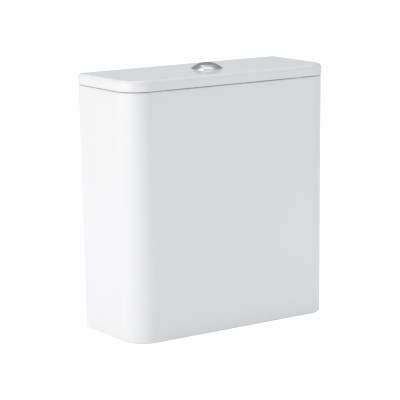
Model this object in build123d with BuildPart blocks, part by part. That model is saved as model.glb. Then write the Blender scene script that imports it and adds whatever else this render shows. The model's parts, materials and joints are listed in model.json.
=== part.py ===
from build123d import *
from math import asin, cos, degrees, radians, sin, sqrt
import os

os.makedirs("parts", exist_ok=True)

# A close-coupled toilet cistern with a lift-off lid and a dual-flush button.
# Millimetres, +X to the right seen from the front, +Y to the wall, +Z up.
# The origin is in the middle of the plane that the tank's lower rim rests on.

# Driving sizes of the china
tank_top_width = 370.0
side_taper_width = 3.0
tank_depth = 152.0
tank_height = 380.5
wall = 10.0
front_corner_radius = 36.0
rear_corner_radius = 7.0
rear_corner_tightening = 3.0
floor_underside = 42.0
floor_thickness = 12.0
rim_edge_radius = 1.8
floor_edge_radius = 8.0
lid_overhang = 1.0
lid_height = 17.0
bumper_gap = 1.0

# Clearances shared by the pieces, and one overrun for all cuts
cut_overrun = 5.0
seat_gap = 0.3
slip_gap = 0.2
pin_gap = 0.05

# Where the two valves stand in the tank, and how far the buttons go down
valve_y = -5.0
fill_inset_width = 50.0
fill_y = 0.0
button_travel = 8.0

tank_foot_width = tank_top_width - 2 * side_taper_width
fill_x = fill_inset_width - tank_top_width / 2
floor_top = floor_underside + floor_thickness
lid_underside = tank_height + bumper_gap
lid_top = lid_underside + lid_height


def valve_level(height):
    """The level plane at a height, centred on the flush valve."""
    return Plane(origin=(0, valve_y, height))


def fill_level(height):
    """The level plane at a height, centred on the fill valve."""
    return Plane(origin=(fill_x, fill_y, height))


def valve_section(offset=0.0):
    """An upright plane beside the flush valve's axis, facing the front."""
    return Plane(origin=(0, valve_y + offset, 0), x_dir=(1, 0, 0), z_dir=(0, -1, 0))


def fill_section(offset=0.0):
    """An upright plane beside the fill valve's axis, facing the front."""
    return Plane(origin=(fill_x, fill_y + offset, 0), x_dir=(1, 0, 0), z_dir=(0, -1, 0))


def ring(plane, outer_radius, inner_radius=0.0):
    """A ring, or a disc, drawn round the middle of a plane."""
    with BuildSketch(plane) as drawn:
        Circle(outer_radius)
        if inner_radius > 0:
            Circle(inner_radius, mode=Mode.SUBTRACT)
    return drawn.sketch


def block(plane, low_x, high_x, low_y, high_y, corner=0.0):
    """A rectangle between two corners of a plane, with rounded corners."""
    with BuildSketch(plane) as drawn:
        with Locations(((low_x + high_x) / 2, (low_y + high_y) / 2)):
            Rectangle(high_x - low_x, high_y - low_y)
        if corner > 0:
            fillet(drawn.vertices(), corner)
    return drawn.sketch


def polar_bars(plane, count, radius, length, width, first_angle=0.0):
    """Rectangles spread round the middle of a plane, each lying along its radius."""
    with BuildSketch(plane) as drawn:
        with PolarLocations(radius, count, start_angle=first_angle):
            Rectangle(length, width)
    return drawn.sketch


def disc_at(plane, x, y, radius):
    """A disc at a point of a plane."""
    with BuildSketch(plane) as drawn:
        with Locations((x, y)):
            Circle(radius)
    return drawn.sketch


def china_outline(height, inset):
    """The tank's outline at a height, moved in by an inset or out by a negative one."""
    taper_share = min(height / tank_height, 1.0)
    width = tank_foot_width + (tank_top_width - tank_foot_width) * taper_share
    with BuildSketch(Plane.XY.offset(height)) as drawn:
        Rectangle(width - 2 * inset, tank_depth - 2 * inset)
        fillet(drawn.vertices().group_by(Axis.Y)[0], front_corner_radius - inset)
        fillet(drawn.vertices().group_by(Axis.Y)[-1], rear_corner_radius - min(inset, rear_corner_tightening))
    return drawn.sketch


# Tank: a tapered shell with a raised floor, so that the nuts and the seal stay inside its skirt
outlet_hole_radius = 32.0
inlet_hole_radius = 12.0
coupling_hole_radius = 6.5
coupling_hole_spacing = 150.0
wall_hole_radius = 5.0
wall_hole_inset_width = 85.0
wall_hole_depth_below_rim = 52.0
wall_hole_spacing = tank_top_width - 2 * wall_hole_inset_width
wall_hole_height = tank_height - wall_hole_depth_below_rim

with BuildPart() as tank:
    loft([china_outline(0, 0).face(), china_outline(tank_height, 0).face()], ruled=True)
    loft([china_outline(floor_top, wall).face(), china_outline(tank_height, wall).face()],
         ruled=True, mode=Mode.SUBTRACT)
    loft([china_outline(0, wall).face(), china_outline(floor_underside, wall).face()],
         ruled=True, mode=Mode.SUBTRACT)
    inner_floor = tank.faces().filter_by(Plane.XY).filter_by_position(Axis.Z, floor_top, floor_top)
    fillet(inner_floor.edges(), floor_edge_radius)
    level_faces = tank.faces().filter_by(Plane.XY).sort_by(Axis.Z)
    fillet(level_faces[-1].edges() + level_faces[0].edges(), rim_edge_radius)
    with BuildSketch(valve_level(floor_underside)):
        Circle(outlet_hole_radius)
        with GridLocations(coupling_hole_spacing, 0, 2, 1):
            Circle(coupling_hole_radius)
    extrude(amount=floor_thickness, mode=Mode.SUBTRACT)
    extrude(ring(fill_level(floor_underside), inlet_hole_radius), amount=floor_thickness,
            mode=Mode.SUBTRACT)
    with BuildSketch(Plane.XZ.offset(-tank_depth / 2)):
        with Locations((0, wall_hole_height)):
            with GridLocations(wall_hole_spacing, 0, 2, 1):
                Circle(wall_hole_radius)
    extrude(amount=wall, mode=Mode.SUBTRACT)
tank.part.label = "tank"
export_step(tank.part, "parts/tank.step")

# Lid: a slab with a rolled top edge, hollowed underneath, with a rib that drops inside the tank's rim
lid_top_edge_radius = 6.5
lid_lower_edge_radius = 1.5
lid_hollow_depth = 6.0
lid_rib_clearance = 3.0
lid_rib_width = 6.0
lid_rib_depth = 7.0
lid_hole_radius = 20.0
lid_boss_radius = 31.0
lid_rib_inset = wall + lid_rib_clearance

with BuildPart() as lid:
    extrude(china_outline(lid_underside, -lid_overhang), amount=lid_height)
    fillet(lid.faces().sort_by(Axis.Z)[-1].edges(), lid_top_edge_radius)
    fillet(lid.faces().sort_by(Axis.Z)[0].edges(), lid_lower_edge_radius)
    extrude(china_outline(lid_underside, lid_rib_inset), amount=-lid_rib_depth)
    fillet(lid.faces().sort_by(Axis.Z)[0].edges(), lid_lower_edge_radius)
    extrude(china_outline(lid_underside - lid_rib_depth, lid_rib_inset + lid_rib_width),
            amount=lid_rib_depth + lid_hollow_depth, mode=Mode.SUBTRACT)
    fillet(lid.faces().sort_by(Axis.Z)[0].inner_wires().edges(), lid_lower_edge_radius)
    extrude(ring(valve_level(lid_underside), lid_boss_radius), amount=lid_hollow_depth)
    extrude(ring(valve_level(lid_underside), lid_hole_radius), amount=lid_height, mode=Mode.SUBTRACT)
lid.part.label = "lid"
export_step(lid.part, "parts/lid.step")

# Lid bumpers: four rubber pads under the lid that keep china off china
bumper_length = 18.0
bumper_width = 5.0
bumper_inset_width = 60.0
bumper_spacing_x = tank_top_width - 2 * bumper_inset_width

with BuildPart() as lid_bumpers:
    with BuildSketch(Plane.XY.offset(tank_height)):
        with GridLocations(bumper_spacing_x, tank_depth - wall, 2, 2):
            SlotOverall(bumper_length, bumper_width)
    extrude(amount=bumper_gap)
lid_bumpers.part.label = "lid_bumpers"
export_step(lid_bumpers.part, "parts/lid_bumpers.step")

# Button bezel: a flanged sleeve through the lid, with a lip inside its lower end
bezel_flange_radius = 24.75
bezel_edge_height = 0.8
dome_height = 9.0
bezel_sleeve_radius = 19.0
bezel_bore_radius = 17.3
bezel_sleeve_length = 29.0
bezel_lip_radius = 15.6
bezel_lip_height = 2.0
bezel_foot = lid_top - bezel_sleeve_length
guide_seat = bezel_foot + bezel_lip_height
dome_base = lid_top + bezel_edge_height
dome_radius = (bezel_flange_radius ** 2 + dome_height ** 2) / (2 * dome_height)
dome_middle = dome_base + dome_height - dome_radius

with BuildPart() as button_bezel:
    extrude(ring(valve_level(bezel_foot), bezel_sleeve_radius, bezel_lip_radius), amount=bezel_lip_height)
    extrude(ring(valve_level(guide_seat), bezel_sleeve_radius, bezel_bore_radius),
            amount=lid_top - guide_seat)
    with BuildSketch(valve_section()):
        with BuildLine():
            dome_line = CenterArc((0, dome_middle), dome_radius,
                                  90 - degrees(asin(bezel_flange_radius / dome_radius)),
                                  degrees(asin(bezel_flange_radius / dome_radius)
                                          - asin(bezel_bore_radius / dome_radius)))
            Polyline(dome_line @ 1, (bezel_bore_radius, lid_top), (bezel_flange_radius, lid_top),
                     dome_line @ 0)
        make_face()
    revolve(axis=Axis((0, valve_y, 0), (0, 0, 1)))
button_bezel.part.label = "button_bezel"
export_step(button_bezel.part, "parts/button_bezel.step")

# Button washer and nut: they clamp the sleeve against the boss under the lid
button_washer_thickness = 1.5
button_washer_radius = 28.0
button_nut_thickness = 6.0
button_nut_radius = 26.0
button_nut_wing_count = 8
button_nut_wing_length = 4.0
button_nut_wing_width = 5.0
washer_bottom = lid_underside - button_washer_thickness
button_nut_bottom = washer_bottom - button_nut_thickness

with BuildPart() as button_washer:
    extrude(ring(valve_level(washer_bottom), button_washer_radius, bezel_sleeve_radius + slip_gap),
            amount=button_washer_thickness)
button_washer.part.label = "button_washer"
export_step(button_washer.part, "parts/button_washer.step")

with BuildPart() as button_nut:
    extrude(ring(valve_level(button_nut_bottom), button_nut_radius - button_nut_wing_length / 2),
            amount=button_nut_thickness)
    extrude(polar_bars(valve_level(button_nut_bottom), button_nut_wing_count,
                       button_nut_radius - button_nut_wing_length / 2,
                       button_nut_wing_length, button_nut_wing_width),
            amount=button_nut_thickness)
    extrude(ring(valve_level(button_nut_bottom), bezel_sleeve_radius + pin_gap),
            amount=button_nut_thickness, mode=Mode.SUBTRACT)
button_nut.part.label = "button_nut"
export_step(button_nut.part, "parts/button_nut.step")

# The two buttons: one disc split across, the larger half in front for the full flush
button_radius = bezel_bore_radius - seat_gap
button_split_y = 4.0
button_split_gap = 0.6
button_skirt_depth = 12.0
button_skirt_wall = 1.6
button_top_thickness = 2.0
button_rim_stand = 0.3
full_rod_x = 7.6
full_rod_y = -8.5
half_rod_x = -7.6
half_rod_y = 8.5
rod_boss_radius = 3.2
rod_boss_depth = 6.0
crown_middle = dome_middle + button_rim_stand
button_rim = crown_middle + sqrt(dome_radius ** 2 - button_radius ** 2)
button_skirt_foot = button_rim - button_skirt_depth
button_roof = button_rim - button_top_thickness
rod_boss_foot = button_roof - rod_boss_depth


def button_share_outline(height, inset, low_y, high_y):
    """The part of the button's disc that lies between two lines across it."""
    with BuildSketch(valve_level(height)) as drawn:
        Circle(button_radius - inset)
        with BuildSketch(valve_level(height), mode=Mode.INTERSECT):
            with Locations((0, (low_y + high_y) / 2)):
                Rectangle(2 * bezel_flange_radius, high_y - low_y)
    return drawn.sketch


def button_piece(low_y, high_y, low_inset, high_inset, rod_x, rod_y):
    """A crowned button with a skirt and the boss that its push rod screws into."""
    with BuildPart() as crowned:
        extrude(button_share_outline(button_skirt_foot, 0, low_y, high_y),
                amount=crown_middle + dome_radius - button_skirt_foot)
        with BuildPart(mode=Mode.INTERSECT):
            with BuildSketch(valve_section()):
                with BuildLine():
                    crown_line = CenterArc((0, crown_middle), dome_radius, 90,
                                           -degrees(asin(button_radius / dome_radius)))
                    Polyline(crown_line @ 1, (button_radius, button_skirt_foot),
                             (0, button_skirt_foot), crown_line @ 0)
                make_face()
            revolve(axis=Axis((0, valve_y, 0), (0, 0, 1)))
        extrude(button_share_outline(button_skirt_foot, button_skirt_wall, low_y + low_inset,
                                     high_y - high_inset),
                amount=button_roof - button_skirt_foot, mode=Mode.SUBTRACT)
        extrude(disc_at(valve_level(button_roof), rod_x, rod_y, rod_boss_radius), amount=-rod_boss_depth)
    return crowned.part


with BuildPart() as full_flush_button:
    add(button_piece(-button_radius, button_split_y - button_split_gap / 2, 0, button_skirt_wall,
                     full_rod_x, full_rod_y))
full_flush_button.part.label = "full_flush_button"
export_step(full_flush_button.part, "parts/full_flush_button.step")

with BuildPart() as half_flush_button:
    add(button_piece(button_split_y + button_split_gap / 2, button_radius, -cut_overrun, 0,
                     half_rod_x, half_rod_y))
half_flush_button.part.label = "half_flush_button"
export_step(half_flush_button.part, "parts/half_flush_button.step")

# Button guide: a disc on the sleeve's lip that guides both rods and seats both springs
guide_thickness = 2.5
rod_radius = 2.0
rod_chamfer = 0.5
rod_hole_radius = 2.4
guide_top = guide_seat + guide_thickness

with BuildPart() as button_guide:
    extrude(ring(valve_level(guide_seat), bezel_bore_radius - slip_gap), amount=guide_thickness)
    with BuildSketch(valve_level(guide_seat)):
        with Locations((full_rod_x, full_rod_y), (half_rod_x, half_rod_y)):
            Circle(rod_hole_radius)
    extrude(amount=guide_thickness, mode=Mode.SUBTRACT)
button_guide.part.label = "button_guide"
export_step(button_guide.part, "parts/button_guide.step")

# Lever mechanism: the pivots stand on a bridge over the flush valve
pivot_depth_below_lid = 66.0
bridge_depth_below_pivot = 15.0
pivot_x = 12.0
lever_pad_arm = 20.0
lever_tip_arm = 30.0
lever_pad_radius = 3.5
lever_tip_radius = 4.0
lever_thickness = 6.0
lever_near_y = 3.0
lever_far_y = 14.0
lever_pin_radius = 2.0
pivot_height = lid_underside - pivot_depth_below_lid
bridge_underside = pivot_height - bridge_depth_below_pivot
lever_half_angle = degrees(asin(button_travel / 2 / lever_pad_arm))
lift_travel = button_travel * lever_tip_arm / lever_pad_arm
pad_rest_top = pivot_height + button_travel / 2 + lever_pad_radius
tip_rest_top = pivot_height - lift_travel / 2 + lever_tip_radius
rod_foot = pad_rest_top + seat_gap
lug_bottom = tip_rest_top + seat_gap

# Push rods, lock nuts and springs under each button
lock_nut_radius = 3.9
lock_nut_height = 3.2
spring_outer_radius = 3.7
spring_inner_radius = 3.0


def rod_plane(height, rod_x, rod_y):
    """The level plane at a height, centred on one push rod."""
    return Plane(origin=(rod_x, valve_y + rod_y, height))


for side, rod_x, rod_y in (("full", full_rod_x, full_rod_y), ("half", half_rod_x, half_rod_y)):
    with BuildPart() as push_rod:
        extrude(ring(rod_plane(rod_foot, rod_x, rod_y), rod_radius), amount=rod_boss_foot - rod_foot)
        chamfer(push_rod.faces().sort_by(Axis.Z)[0].edges(), rod_chamfer)
    push_rod.part.label = f"{side}_push_rod"
    export_step(push_rod.part, f"parts/{side}_push_rod.step")

    with BuildPart() as lock_nut:
        with BuildSketch(rod_plane(guide_seat, rod_x, rod_y)):
            RegularPolygon(lock_nut_radius, 6)
            Circle(rod_radius + pin_gap, mode=Mode.SUBTRACT)
        extrude(amount=-lock_nut_height)
    lock_nut.part.label = f"{side}_lock_nut"
    export_step(lock_nut.part, f"parts/{side}_lock_nut.step")

    with BuildPart() as button_spring:
        extrude(ring(rod_plane(guide_top, rod_x, rod_y), spring_outer_radius, spring_inner_radius),
                amount=rod_boss_foot - guide_top)
    button_spring.part.label = f"{side}_button_spring"
    export_step(button_spring.part, f"parts/{side}_button_spring.step")

# Flush valve base: the threaded tail through the floor, its flange and the seat of the seal
base_washer_thickness = 3.0
base_flange_rim_width = 12.2
base_flange_thickness = 4.0
tail_radius = 29.8
tail_bore_radius = 25.0
seat_bore_radius = 24.6
tail_length = 36.0
seat_radius = 29.0
seat_height = 13.0
seat_lip_radius = 1.2
base_flange_radius = tail_radius + base_flange_rim_width
base_bottom = floor_top + base_washer_thickness
base_top = base_bottom + base_flange_thickness
seat_top = base_top + seat_height
tail_foot = floor_top - tail_length

with BuildPart() as valve_base:
    extrude(ring(valve_level(tail_foot), tail_radius), amount=base_bottom - tail_foot)
    extrude(ring(valve_level(base_bottom), base_flange_radius), amount=base_flange_thickness)
    extrude(ring(valve_level(base_top), seat_radius), amount=seat_height)
    extrude(ring(valve_level(tail_foot), tail_bore_radius), amount=base_bottom - tail_foot,
            mode=Mode.SUBTRACT)
    extrude(ring(valve_level(base_bottom), seat_bore_radius), amount=seat_top - base_bottom,
            mode=Mode.SUBTRACT)
    fillet(valve_base.faces().sort_by(Axis.Z)[-1].edges(), seat_lip_radius)
    chamfer(valve_base.faces().sort_by(Axis.Z)[0].edges().sort_by(SortBy.RADIUS)[-1], seat_lip_radius)
valve_base.part.label = "valve_base"
export_step(valve_base.part, "parts/valve_base.step")

with BuildPart() as base_washer:
    extrude(ring(valve_level(floor_top), base_flange_radius, tail_radius + slip_gap),
            amount=base_washer_thickness)
base_washer.part.label = "base_washer"
export_step(base_washer.part, "parts/base_washer.step")

# Valve backnut: a winged ring nut under the floor
backnut_thickness = 11.0
backnut_flange_radius = 44.0
backnut_flange_thickness = 3.0
backnut_body_radius = 36.0
backnut_wing_count = 10
backnut_wing_width = 5.0
backnut_wing_root_depth = 2.0
backnut_bottom = floor_underside - backnut_thickness
backnut_wing_length = backnut_flange_radius - backnut_body_radius
backnut_wing_middle = backnut_body_radius - backnut_wing_root_depth + backnut_wing_length / 2

with BuildPart() as valve_backnut:
    extrude(ring(valve_level(floor_underside), backnut_flange_radius), amount=-backnut_flange_thickness)
    extrude(ring(valve_level(backnut_bottom), backnut_body_radius), amount=backnut_thickness)
    extrude(polar_bars(valve_level(backnut_bottom), backnut_wing_count, backnut_wing_middle,
                       backnut_wing_length, backnut_wing_width),
            amount=backnut_thickness)
    extrude(ring(valve_level(backnut_bottom), tail_radius + pin_gap), amount=backnut_thickness,
            mode=Mode.SUBTRACT)
valve_backnut.part.label = "valve_backnut"
export_step(valve_backnut.part, "parts/valve_backnut.step")

# Coupling seal: the soft ring between the tank and the pan, coned towards the pan
coupling_seal_radius = 47.0
coupling_seal_foot_radius = 40.0
coupling_seal_height = 27.0
coupling_seal_cone = 12.0
coupling_seal_bottom = backnut_bottom - coupling_seal_height
coupling_seal_inner_radius = tail_radius + slip_gap

with BuildPart() as coupling_seal:
    with BuildSketch(valve_section()):
        Polygon((coupling_seal_inner_radius, coupling_seal_bottom),
                (coupling_seal_foot_radius, coupling_seal_bottom),
                (coupling_seal_radius, coupling_seal_bottom + coupling_seal_cone),
                (coupling_seal_radius, backnut_bottom),
                (coupling_seal_inner_radius, backnut_bottom), align=None)
    revolve(axis=Axis((0, valve_y, 0), (0, 0, 1)))
coupling_seal.part.label = "coupling_seal"
export_step(coupling_seal.part, "parts/coupling_seal.step")

# Overflow tube: its neck below the shoulder carries the seal
tube_radius = 16.0
tube_bore_radius = 13.0
tube_neck_radius = 14.8
tube_depth_below_bridge = 25.0
tube_neck_depth = 10.0
seal_thickness = 3.0
seal_radius = 31.5
seal_bore_radius = 15.0
seal_plate_radius = 29.0
seal_plate_thickness = 3.0
clamp_radius = 20.0
clamp_thickness = 8.0
fin_length = 24.0
fin_width = 2.0
fin_depth = 12.0
fin_count = 4
tube_top = bridge_underside - tube_depth_below_bridge
tube_foot = seat_top - tube_neck_depth
seal_top = seat_top + seal_thickness
tube_shoulder = seal_top + seal_plate_thickness

with BuildPart() as overflow_tube:
    extrude(ring(valve_level(tube_foot), tube_neck_radius), amount=tube_shoulder - tube_foot)
    extrude(ring(valve_level(tube_shoulder), tube_radius), amount=tube_top - tube_shoulder)
    extrude(ring(valve_level(tube_foot), tube_bore_radius), amount=tube_top - tube_foot,
            mode=Mode.SUBTRACT)
overflow_tube.part.label = "overflow_tube"
export_step(overflow_tube.part, "parts/overflow_tube.step")

with BuildPart() as flush_seal:
    extrude(ring(valve_level(seat_top), seal_radius, seal_bore_radius), amount=seal_thickness)
flush_seal.part.label = "flush_seal"
export_step(flush_seal.part, "parts/flush_seal.step")

with BuildPart() as seal_plate:
    extrude(ring(valve_level(seal_top), seal_plate_radius, seal_bore_radius), amount=seal_plate_thickness)
    chamfer(seal_plate.faces().sort_by(Axis.Z)[-1].edges().sort_by(SortBy.RADIUS)[-1],
            seal_plate_thickness / 2)
seal_plate.part.label = "seal_plate"
export_step(seal_plate.part, "parts/seal_plate.step")

with BuildPart() as seal_clamp:
    extrude(ring(valve_level(seat_top), clamp_radius), amount=-clamp_thickness)
    extrude(polar_bars(valve_level(seat_top - seat_lip_radius), fin_count, fin_length / 2,
                       fin_length, fin_width),
            amount=-fin_depth)
    extrude(ring(valve_level(seat_top), seal_bore_radius), amount=-(fin_depth + cut_overrun),
            mode=Mode.SUBTRACT)
seal_clamp.part.label = "seal_clamp"
export_step(seal_clamp.part, "parts/seal_clamp.step")

# Valve tower: a windowed drum on the base, with a guide for the tube and two rails up to the bridge
drum_radius = 40.0
drum_wall = 2.5
drum_height = 89.0
deck_thickness = 3.0
window_count = 4
window_first_angle = 45
window_width = 44.0
window_sill = 11.0
window_height = 42.0
guide_bore_radius = 16.6
guide_collar_radius = 20.0
guide_collar_height = 8.0
rail_y = 25.5
rail_thickness = 3.0
rail_width = 16.0
rail_rib_depth = 4.0
deck_vent_radius = 4.0
deck_vent_circle_radius = 29.0
drum_top = base_top + drum_height

with BuildPart() as valve_tower:
    extrude(ring(valve_level(base_top), drum_radius, drum_radius - drum_wall), amount=drum_height)
    extrude(ring(valve_level(drum_top), drum_radius), amount=-deck_thickness)
    extrude(ring(valve_level(drum_top), guide_collar_radius), amount=guide_collar_height)
    extrude(ring(valve_level(drum_top - deck_thickness), guide_bore_radius),
            amount=deck_thickness + guide_collar_height, mode=Mode.SUBTRACT)
    extrude(polar_bars(valve_level(base_top + window_sill), window_count, drum_radius,
                       2 * cut_overrun, window_width, window_first_angle),
            amount=window_height, mode=Mode.SUBTRACT)
    with BuildSketch(valve_level(drum_top - deck_thickness)):
        with PolarLocations(deck_vent_circle_radius, window_count, start_angle=window_first_angle):
            Circle(deck_vent_radius)
    extrude(amount=deck_thickness, mode=Mode.SUBTRACT)
    for rail_side in (1, -1):
        with BuildSketch(valve_level(drum_top - deck_thickness)):
            with Locations((0, rail_side * (rail_y + rail_thickness / 2))):
                Rectangle(rail_width, rail_thickness)
            with Locations((0, rail_side * (rail_y + rail_thickness + rail_rib_depth / 2))):
                Rectangle(rail_thickness, rail_rib_depth)
        extrude(amount=bridge_underside - drum_top + deck_thickness)
valve_tower.part.label = "valve_tower"
export_step(valve_tower.part, "parts/valve_tower.step")

# Lever bridge: a plate on the rails with four ears for the levers and a stop under each lever
bridge_thickness = 3.0
bridge_half_length = 27.0
bridge_half_width = 31.0
bridge_corner = 6.0
bridge_hole_radius = 9.0
ear_thickness = 2.0
ear_gap = 0.5
ear_half_width = 5.0
stop_x = 24.0
stop_thickness = 2.5
bridge_top = bridge_underside + bridge_thickness
lever_underside_at_stop = (pivot_height - (stop_x - pivot_x) * sin(radians(lever_half_angle))
                           - lever_thickness / 2 / cos(radians(lever_half_angle)))
stop_top = lever_underside_at_stop - 2 * seat_gap


def ear_outline(offset, side):
    """An ear with a rounded top round the lever's pivot, on one side of the valve."""
    with BuildSketch(valve_section(offset)) as drawn:
        with Locations((side * pivot_x, pivot_height)):
            Circle(ear_half_width)
        with Locations((side * pivot_x, (bridge_top + pivot_height) / 2)):
            Rectangle(2 * ear_half_width, pivot_height - bridge_top)
        with Locations((side * pivot_x, pivot_height)):
            Circle(lever_pin_radius + pin_gap, mode=Mode.SUBTRACT)
    return drawn.sketch


with BuildPart() as lever_bridge:
    extrude(block(valve_level(bridge_underside), -bridge_half_length, bridge_half_length,
                  -bridge_half_width, bridge_half_width, bridge_corner),
            amount=bridge_thickness)
    extrude(ring(valve_level(bridge_underside), bridge_hole_radius), amount=bridge_thickness,
            mode=Mode.SUBTRACT)
    for side in (-1, 1):
        inner_ear = side * (lever_near_y - ear_gap)
        outer_ear = side * (lever_far_y + ear_gap)
        extrude(ear_outline(inner_ear, side), amount=side * ear_thickness)
        extrude(ear_outline(outer_ear, side), amount=-side * ear_thickness)
        stop_low = min(side * stop_x, side * (stop_x + stop_thickness))
        lever_low = min(side * lever_near_y, side * lever_far_y)
        extrude(block(valve_level(bridge_top), stop_low, stop_low + stop_thickness,
                      lever_low, lever_low + lever_far_y - lever_near_y),
                amount=stop_top - bridge_top)
lever_bridge.part.label = "lever_bridge"
export_step(lever_bridge.part, "parts/lever_bridge.step")

# Lever pins: one through each pair of ears
with BuildPart() as lever_pins:
    for side in (-1, 1):
        pin_inner = lever_near_y - ear_gap - ear_thickness
        pin_outer = lever_far_y + ear_gap + ear_thickness
        extrude(disc_at(valve_section(side * pin_inner), side * pivot_x, pivot_height, lever_pin_radius),
                amount=-side * (pin_outer - pin_inner))
lever_pins.part.label = "lever_pins"
export_step(lever_pins.part, "parts/lever_pins.step")


def lever_outline(side):
    """A rocker seen from the front: a pad on one side of the pivot, a longer tip on the other."""
    pad = (-side * lever_pad_arm, 0)
    tip = (side * lever_tip_arm, 0)
    tilted = Plane(origin=(side * pivot_x, valve_y + side * lever_near_y, pivot_height),
                   x_dir=(cos(radians(lever_half_angle)), 0, -side * sin(radians(lever_half_angle))),
                   z_dir=(0, -1, 0))
    with BuildSketch(tilted) as drawn:
        Rectangle(2 * lever_pad_arm, lever_thickness)
        with Locations((side * lever_tip_arm / 2, 0)):
            Rectangle(lever_tip_arm, lever_thickness)
        with Locations(pad):
            Circle(lever_pad_radius)
        with Locations(tip):
            Circle(lever_tip_radius)
        Circle(ear_half_width)
        Circle(lever_pin_radius + pin_gap, mode=Mode.SUBTRACT)
    return drawn.sketch


with BuildPart() as full_lever:
    extrude(lever_outline(-1), amount=lever_far_y - lever_near_y)
full_lever.part.label = "full_lever"
export_step(full_lever.part, "parts/full_lever.step")

with BuildPart() as half_lever:
    extrude(lever_outline(1), amount=-(lever_far_y - lever_near_y))
half_lever.part.label = "half_lever"
export_step(half_lever.part, "parts/half_lever.step")

# Lift yoke and tube clip: each is a collar with an arm, a lug over a lever's tip and a float's stem
collar_radius = 22.0
yoke_depth_below_bridge = 52.0
yoke_height = 12.0
clip_height = 12.0
arm_inner_x = 47.0
stem_thickness = 3.0
stem_width = 10.0
arm_height = 8.0
lug_thickness = 4.0
lug_inner_x = 38.0
full_stem_drop_height = 84.0
half_stem_drop_height = 54.0
yoke_bottom = bridge_underside - yoke_depth_below_bridge
full_stem_foot = yoke_bottom - full_stem_drop_height
half_stem_foot = yoke_bottom - half_stem_drop_height
yoke_top = yoke_bottom + yoke_height
clip_bottom = yoke_top + seat_gap
stem_middle_y = (lever_near_y + lever_far_y) / 2


def add_lifting_arm(side, collar_bottom, collar_height, bore_radius, stem_foot):
    """A collar round the tube, with the arm, stem and lug on one side of it."""
    stem_low = side * stem_middle_y - stem_width / 2
    stem_high = side * stem_middle_y + stem_width / 2
    inner = min(side * arm_inner_x, side * (arm_inner_x + stem_thickness))
    arm_far = side * (arm_inner_x + stem_thickness)
    lug_far = side * lug_inner_x
    with BuildPart() as arm:
        extrude(ring(valve_level(collar_bottom), collar_radius), amount=collar_height)
        extrude(block(valve_level(collar_bottom), min(0, arm_far), max(0, arm_far), stem_low, stem_high),
                amount=arm_height)
        extrude(block(valve_level(stem_foot), inner, inner + stem_thickness, stem_low, stem_high),
                amount=lug_bottom + lug_thickness - stem_foot)
        extrude(block(valve_level(lug_bottom), min(arm_far, lug_far), max(arm_far, lug_far),
                      stem_low, stem_high),
                amount=lug_thickness)
        extrude(ring(valve_level(collar_bottom), bore_radius), amount=collar_height, mode=Mode.SUBTRACT)
    return arm.part


with BuildPart() as lift_yoke:
    add(add_lifting_arm(-1, yoke_bottom, yoke_height, guide_bore_radius, full_stem_foot))
lift_yoke.part.label = "lift_yoke"
export_step(lift_yoke.part, "parts/lift_yoke.step")

with BuildPart() as tube_clip:
    add(add_lifting_arm(1, clip_bottom, clip_height, tube_radius + pin_gap, half_stem_foot))
tube_clip.part.label = "tube_clip"
export_step(tube_clip.part, "parts/tube_clip.step")

# Flush floats: closed cans with a slot that grips the stem
float_inner_x = 44.0
float_outer_x = 72.0
float_half_width = 20.0
float_corner = 8.0
float_edge = 2.0
stem_grip_height = 6.0
full_float_height = 50.0
half_float_height = 45.0
full_float_bottom = full_stem_foot - stem_grip_height
half_float_bottom = half_stem_foot - stem_grip_height


def flush_float(side, bottom, height):
    """A rounded can beside the stem, with the slot that slides over it."""
    low_x = min(side * float_inner_x, side * float_outer_x)
    high_x = max(side * float_inner_x, side * float_outer_x)
    slot_low = min(side * arm_inner_x, side * (arm_inner_x + stem_thickness)) - slip_gap
    slot_high = max(side * arm_inner_x, side * (arm_inner_x + stem_thickness)) + slip_gap
    stem_y = side * stem_middle_y
    with BuildPart() as can:
        extrude(block(valve_level(bottom), low_x, high_x, -float_half_width, float_half_width,
                      float_corner),
                amount=height)
        fillet(can.faces().sort_by(Axis.Z)[-1].edges() + can.faces().sort_by(Axis.Z)[0].edges(),
               float_edge)
        extrude(block(valve_level(bottom), slot_low, slot_high,
                      stem_y - stem_width / 2 - slip_gap, stem_y + stem_width / 2 + slip_gap),
                amount=height, mode=Mode.SUBTRACT)
    return can.part


with BuildPart() as full_flush_float:
    add(flush_float(-1, full_float_bottom, full_float_height))
full_flush_float.part.label = "full_flush_float"
export_step(full_flush_float.part, "parts/full_flush_float.step")

with BuildPart() as half_flush_float:
    add(flush_float(1, half_float_bottom, half_float_height))
half_flush_float.part.label = "half_flush_float"
export_step(half_flush_float.part, "parts/half_flush_float.step")

# Fill valve shank: the half-inch tail through the floor, its flange and the socket of the riser
fill_washer_thickness = 2.5
fill_washer_radius = 18.0
shank_flange_radius = 20.0
shank_flange_thickness = 3.0
fill_tail_radius = 10.48
fill_tail_bore_radius = 6.0
fill_tail_length = 46.0
tail_groove_radius = 9.8
tail_groove_width = 2.0
fill_nut_thickness = 9.0
filter_seat_radius = 7.5
filter_seat_depth = 2.0
socket_radius = 13.0
socket_height = 20.0
riser_radius = 10.0
shank_bottom = floor_top + fill_washer_thickness
shank_top = shank_bottom + shank_flange_thickness
fill_tail_foot = floor_top - fill_tail_length
tail_groove_top = floor_underside - fill_nut_thickness

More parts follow.
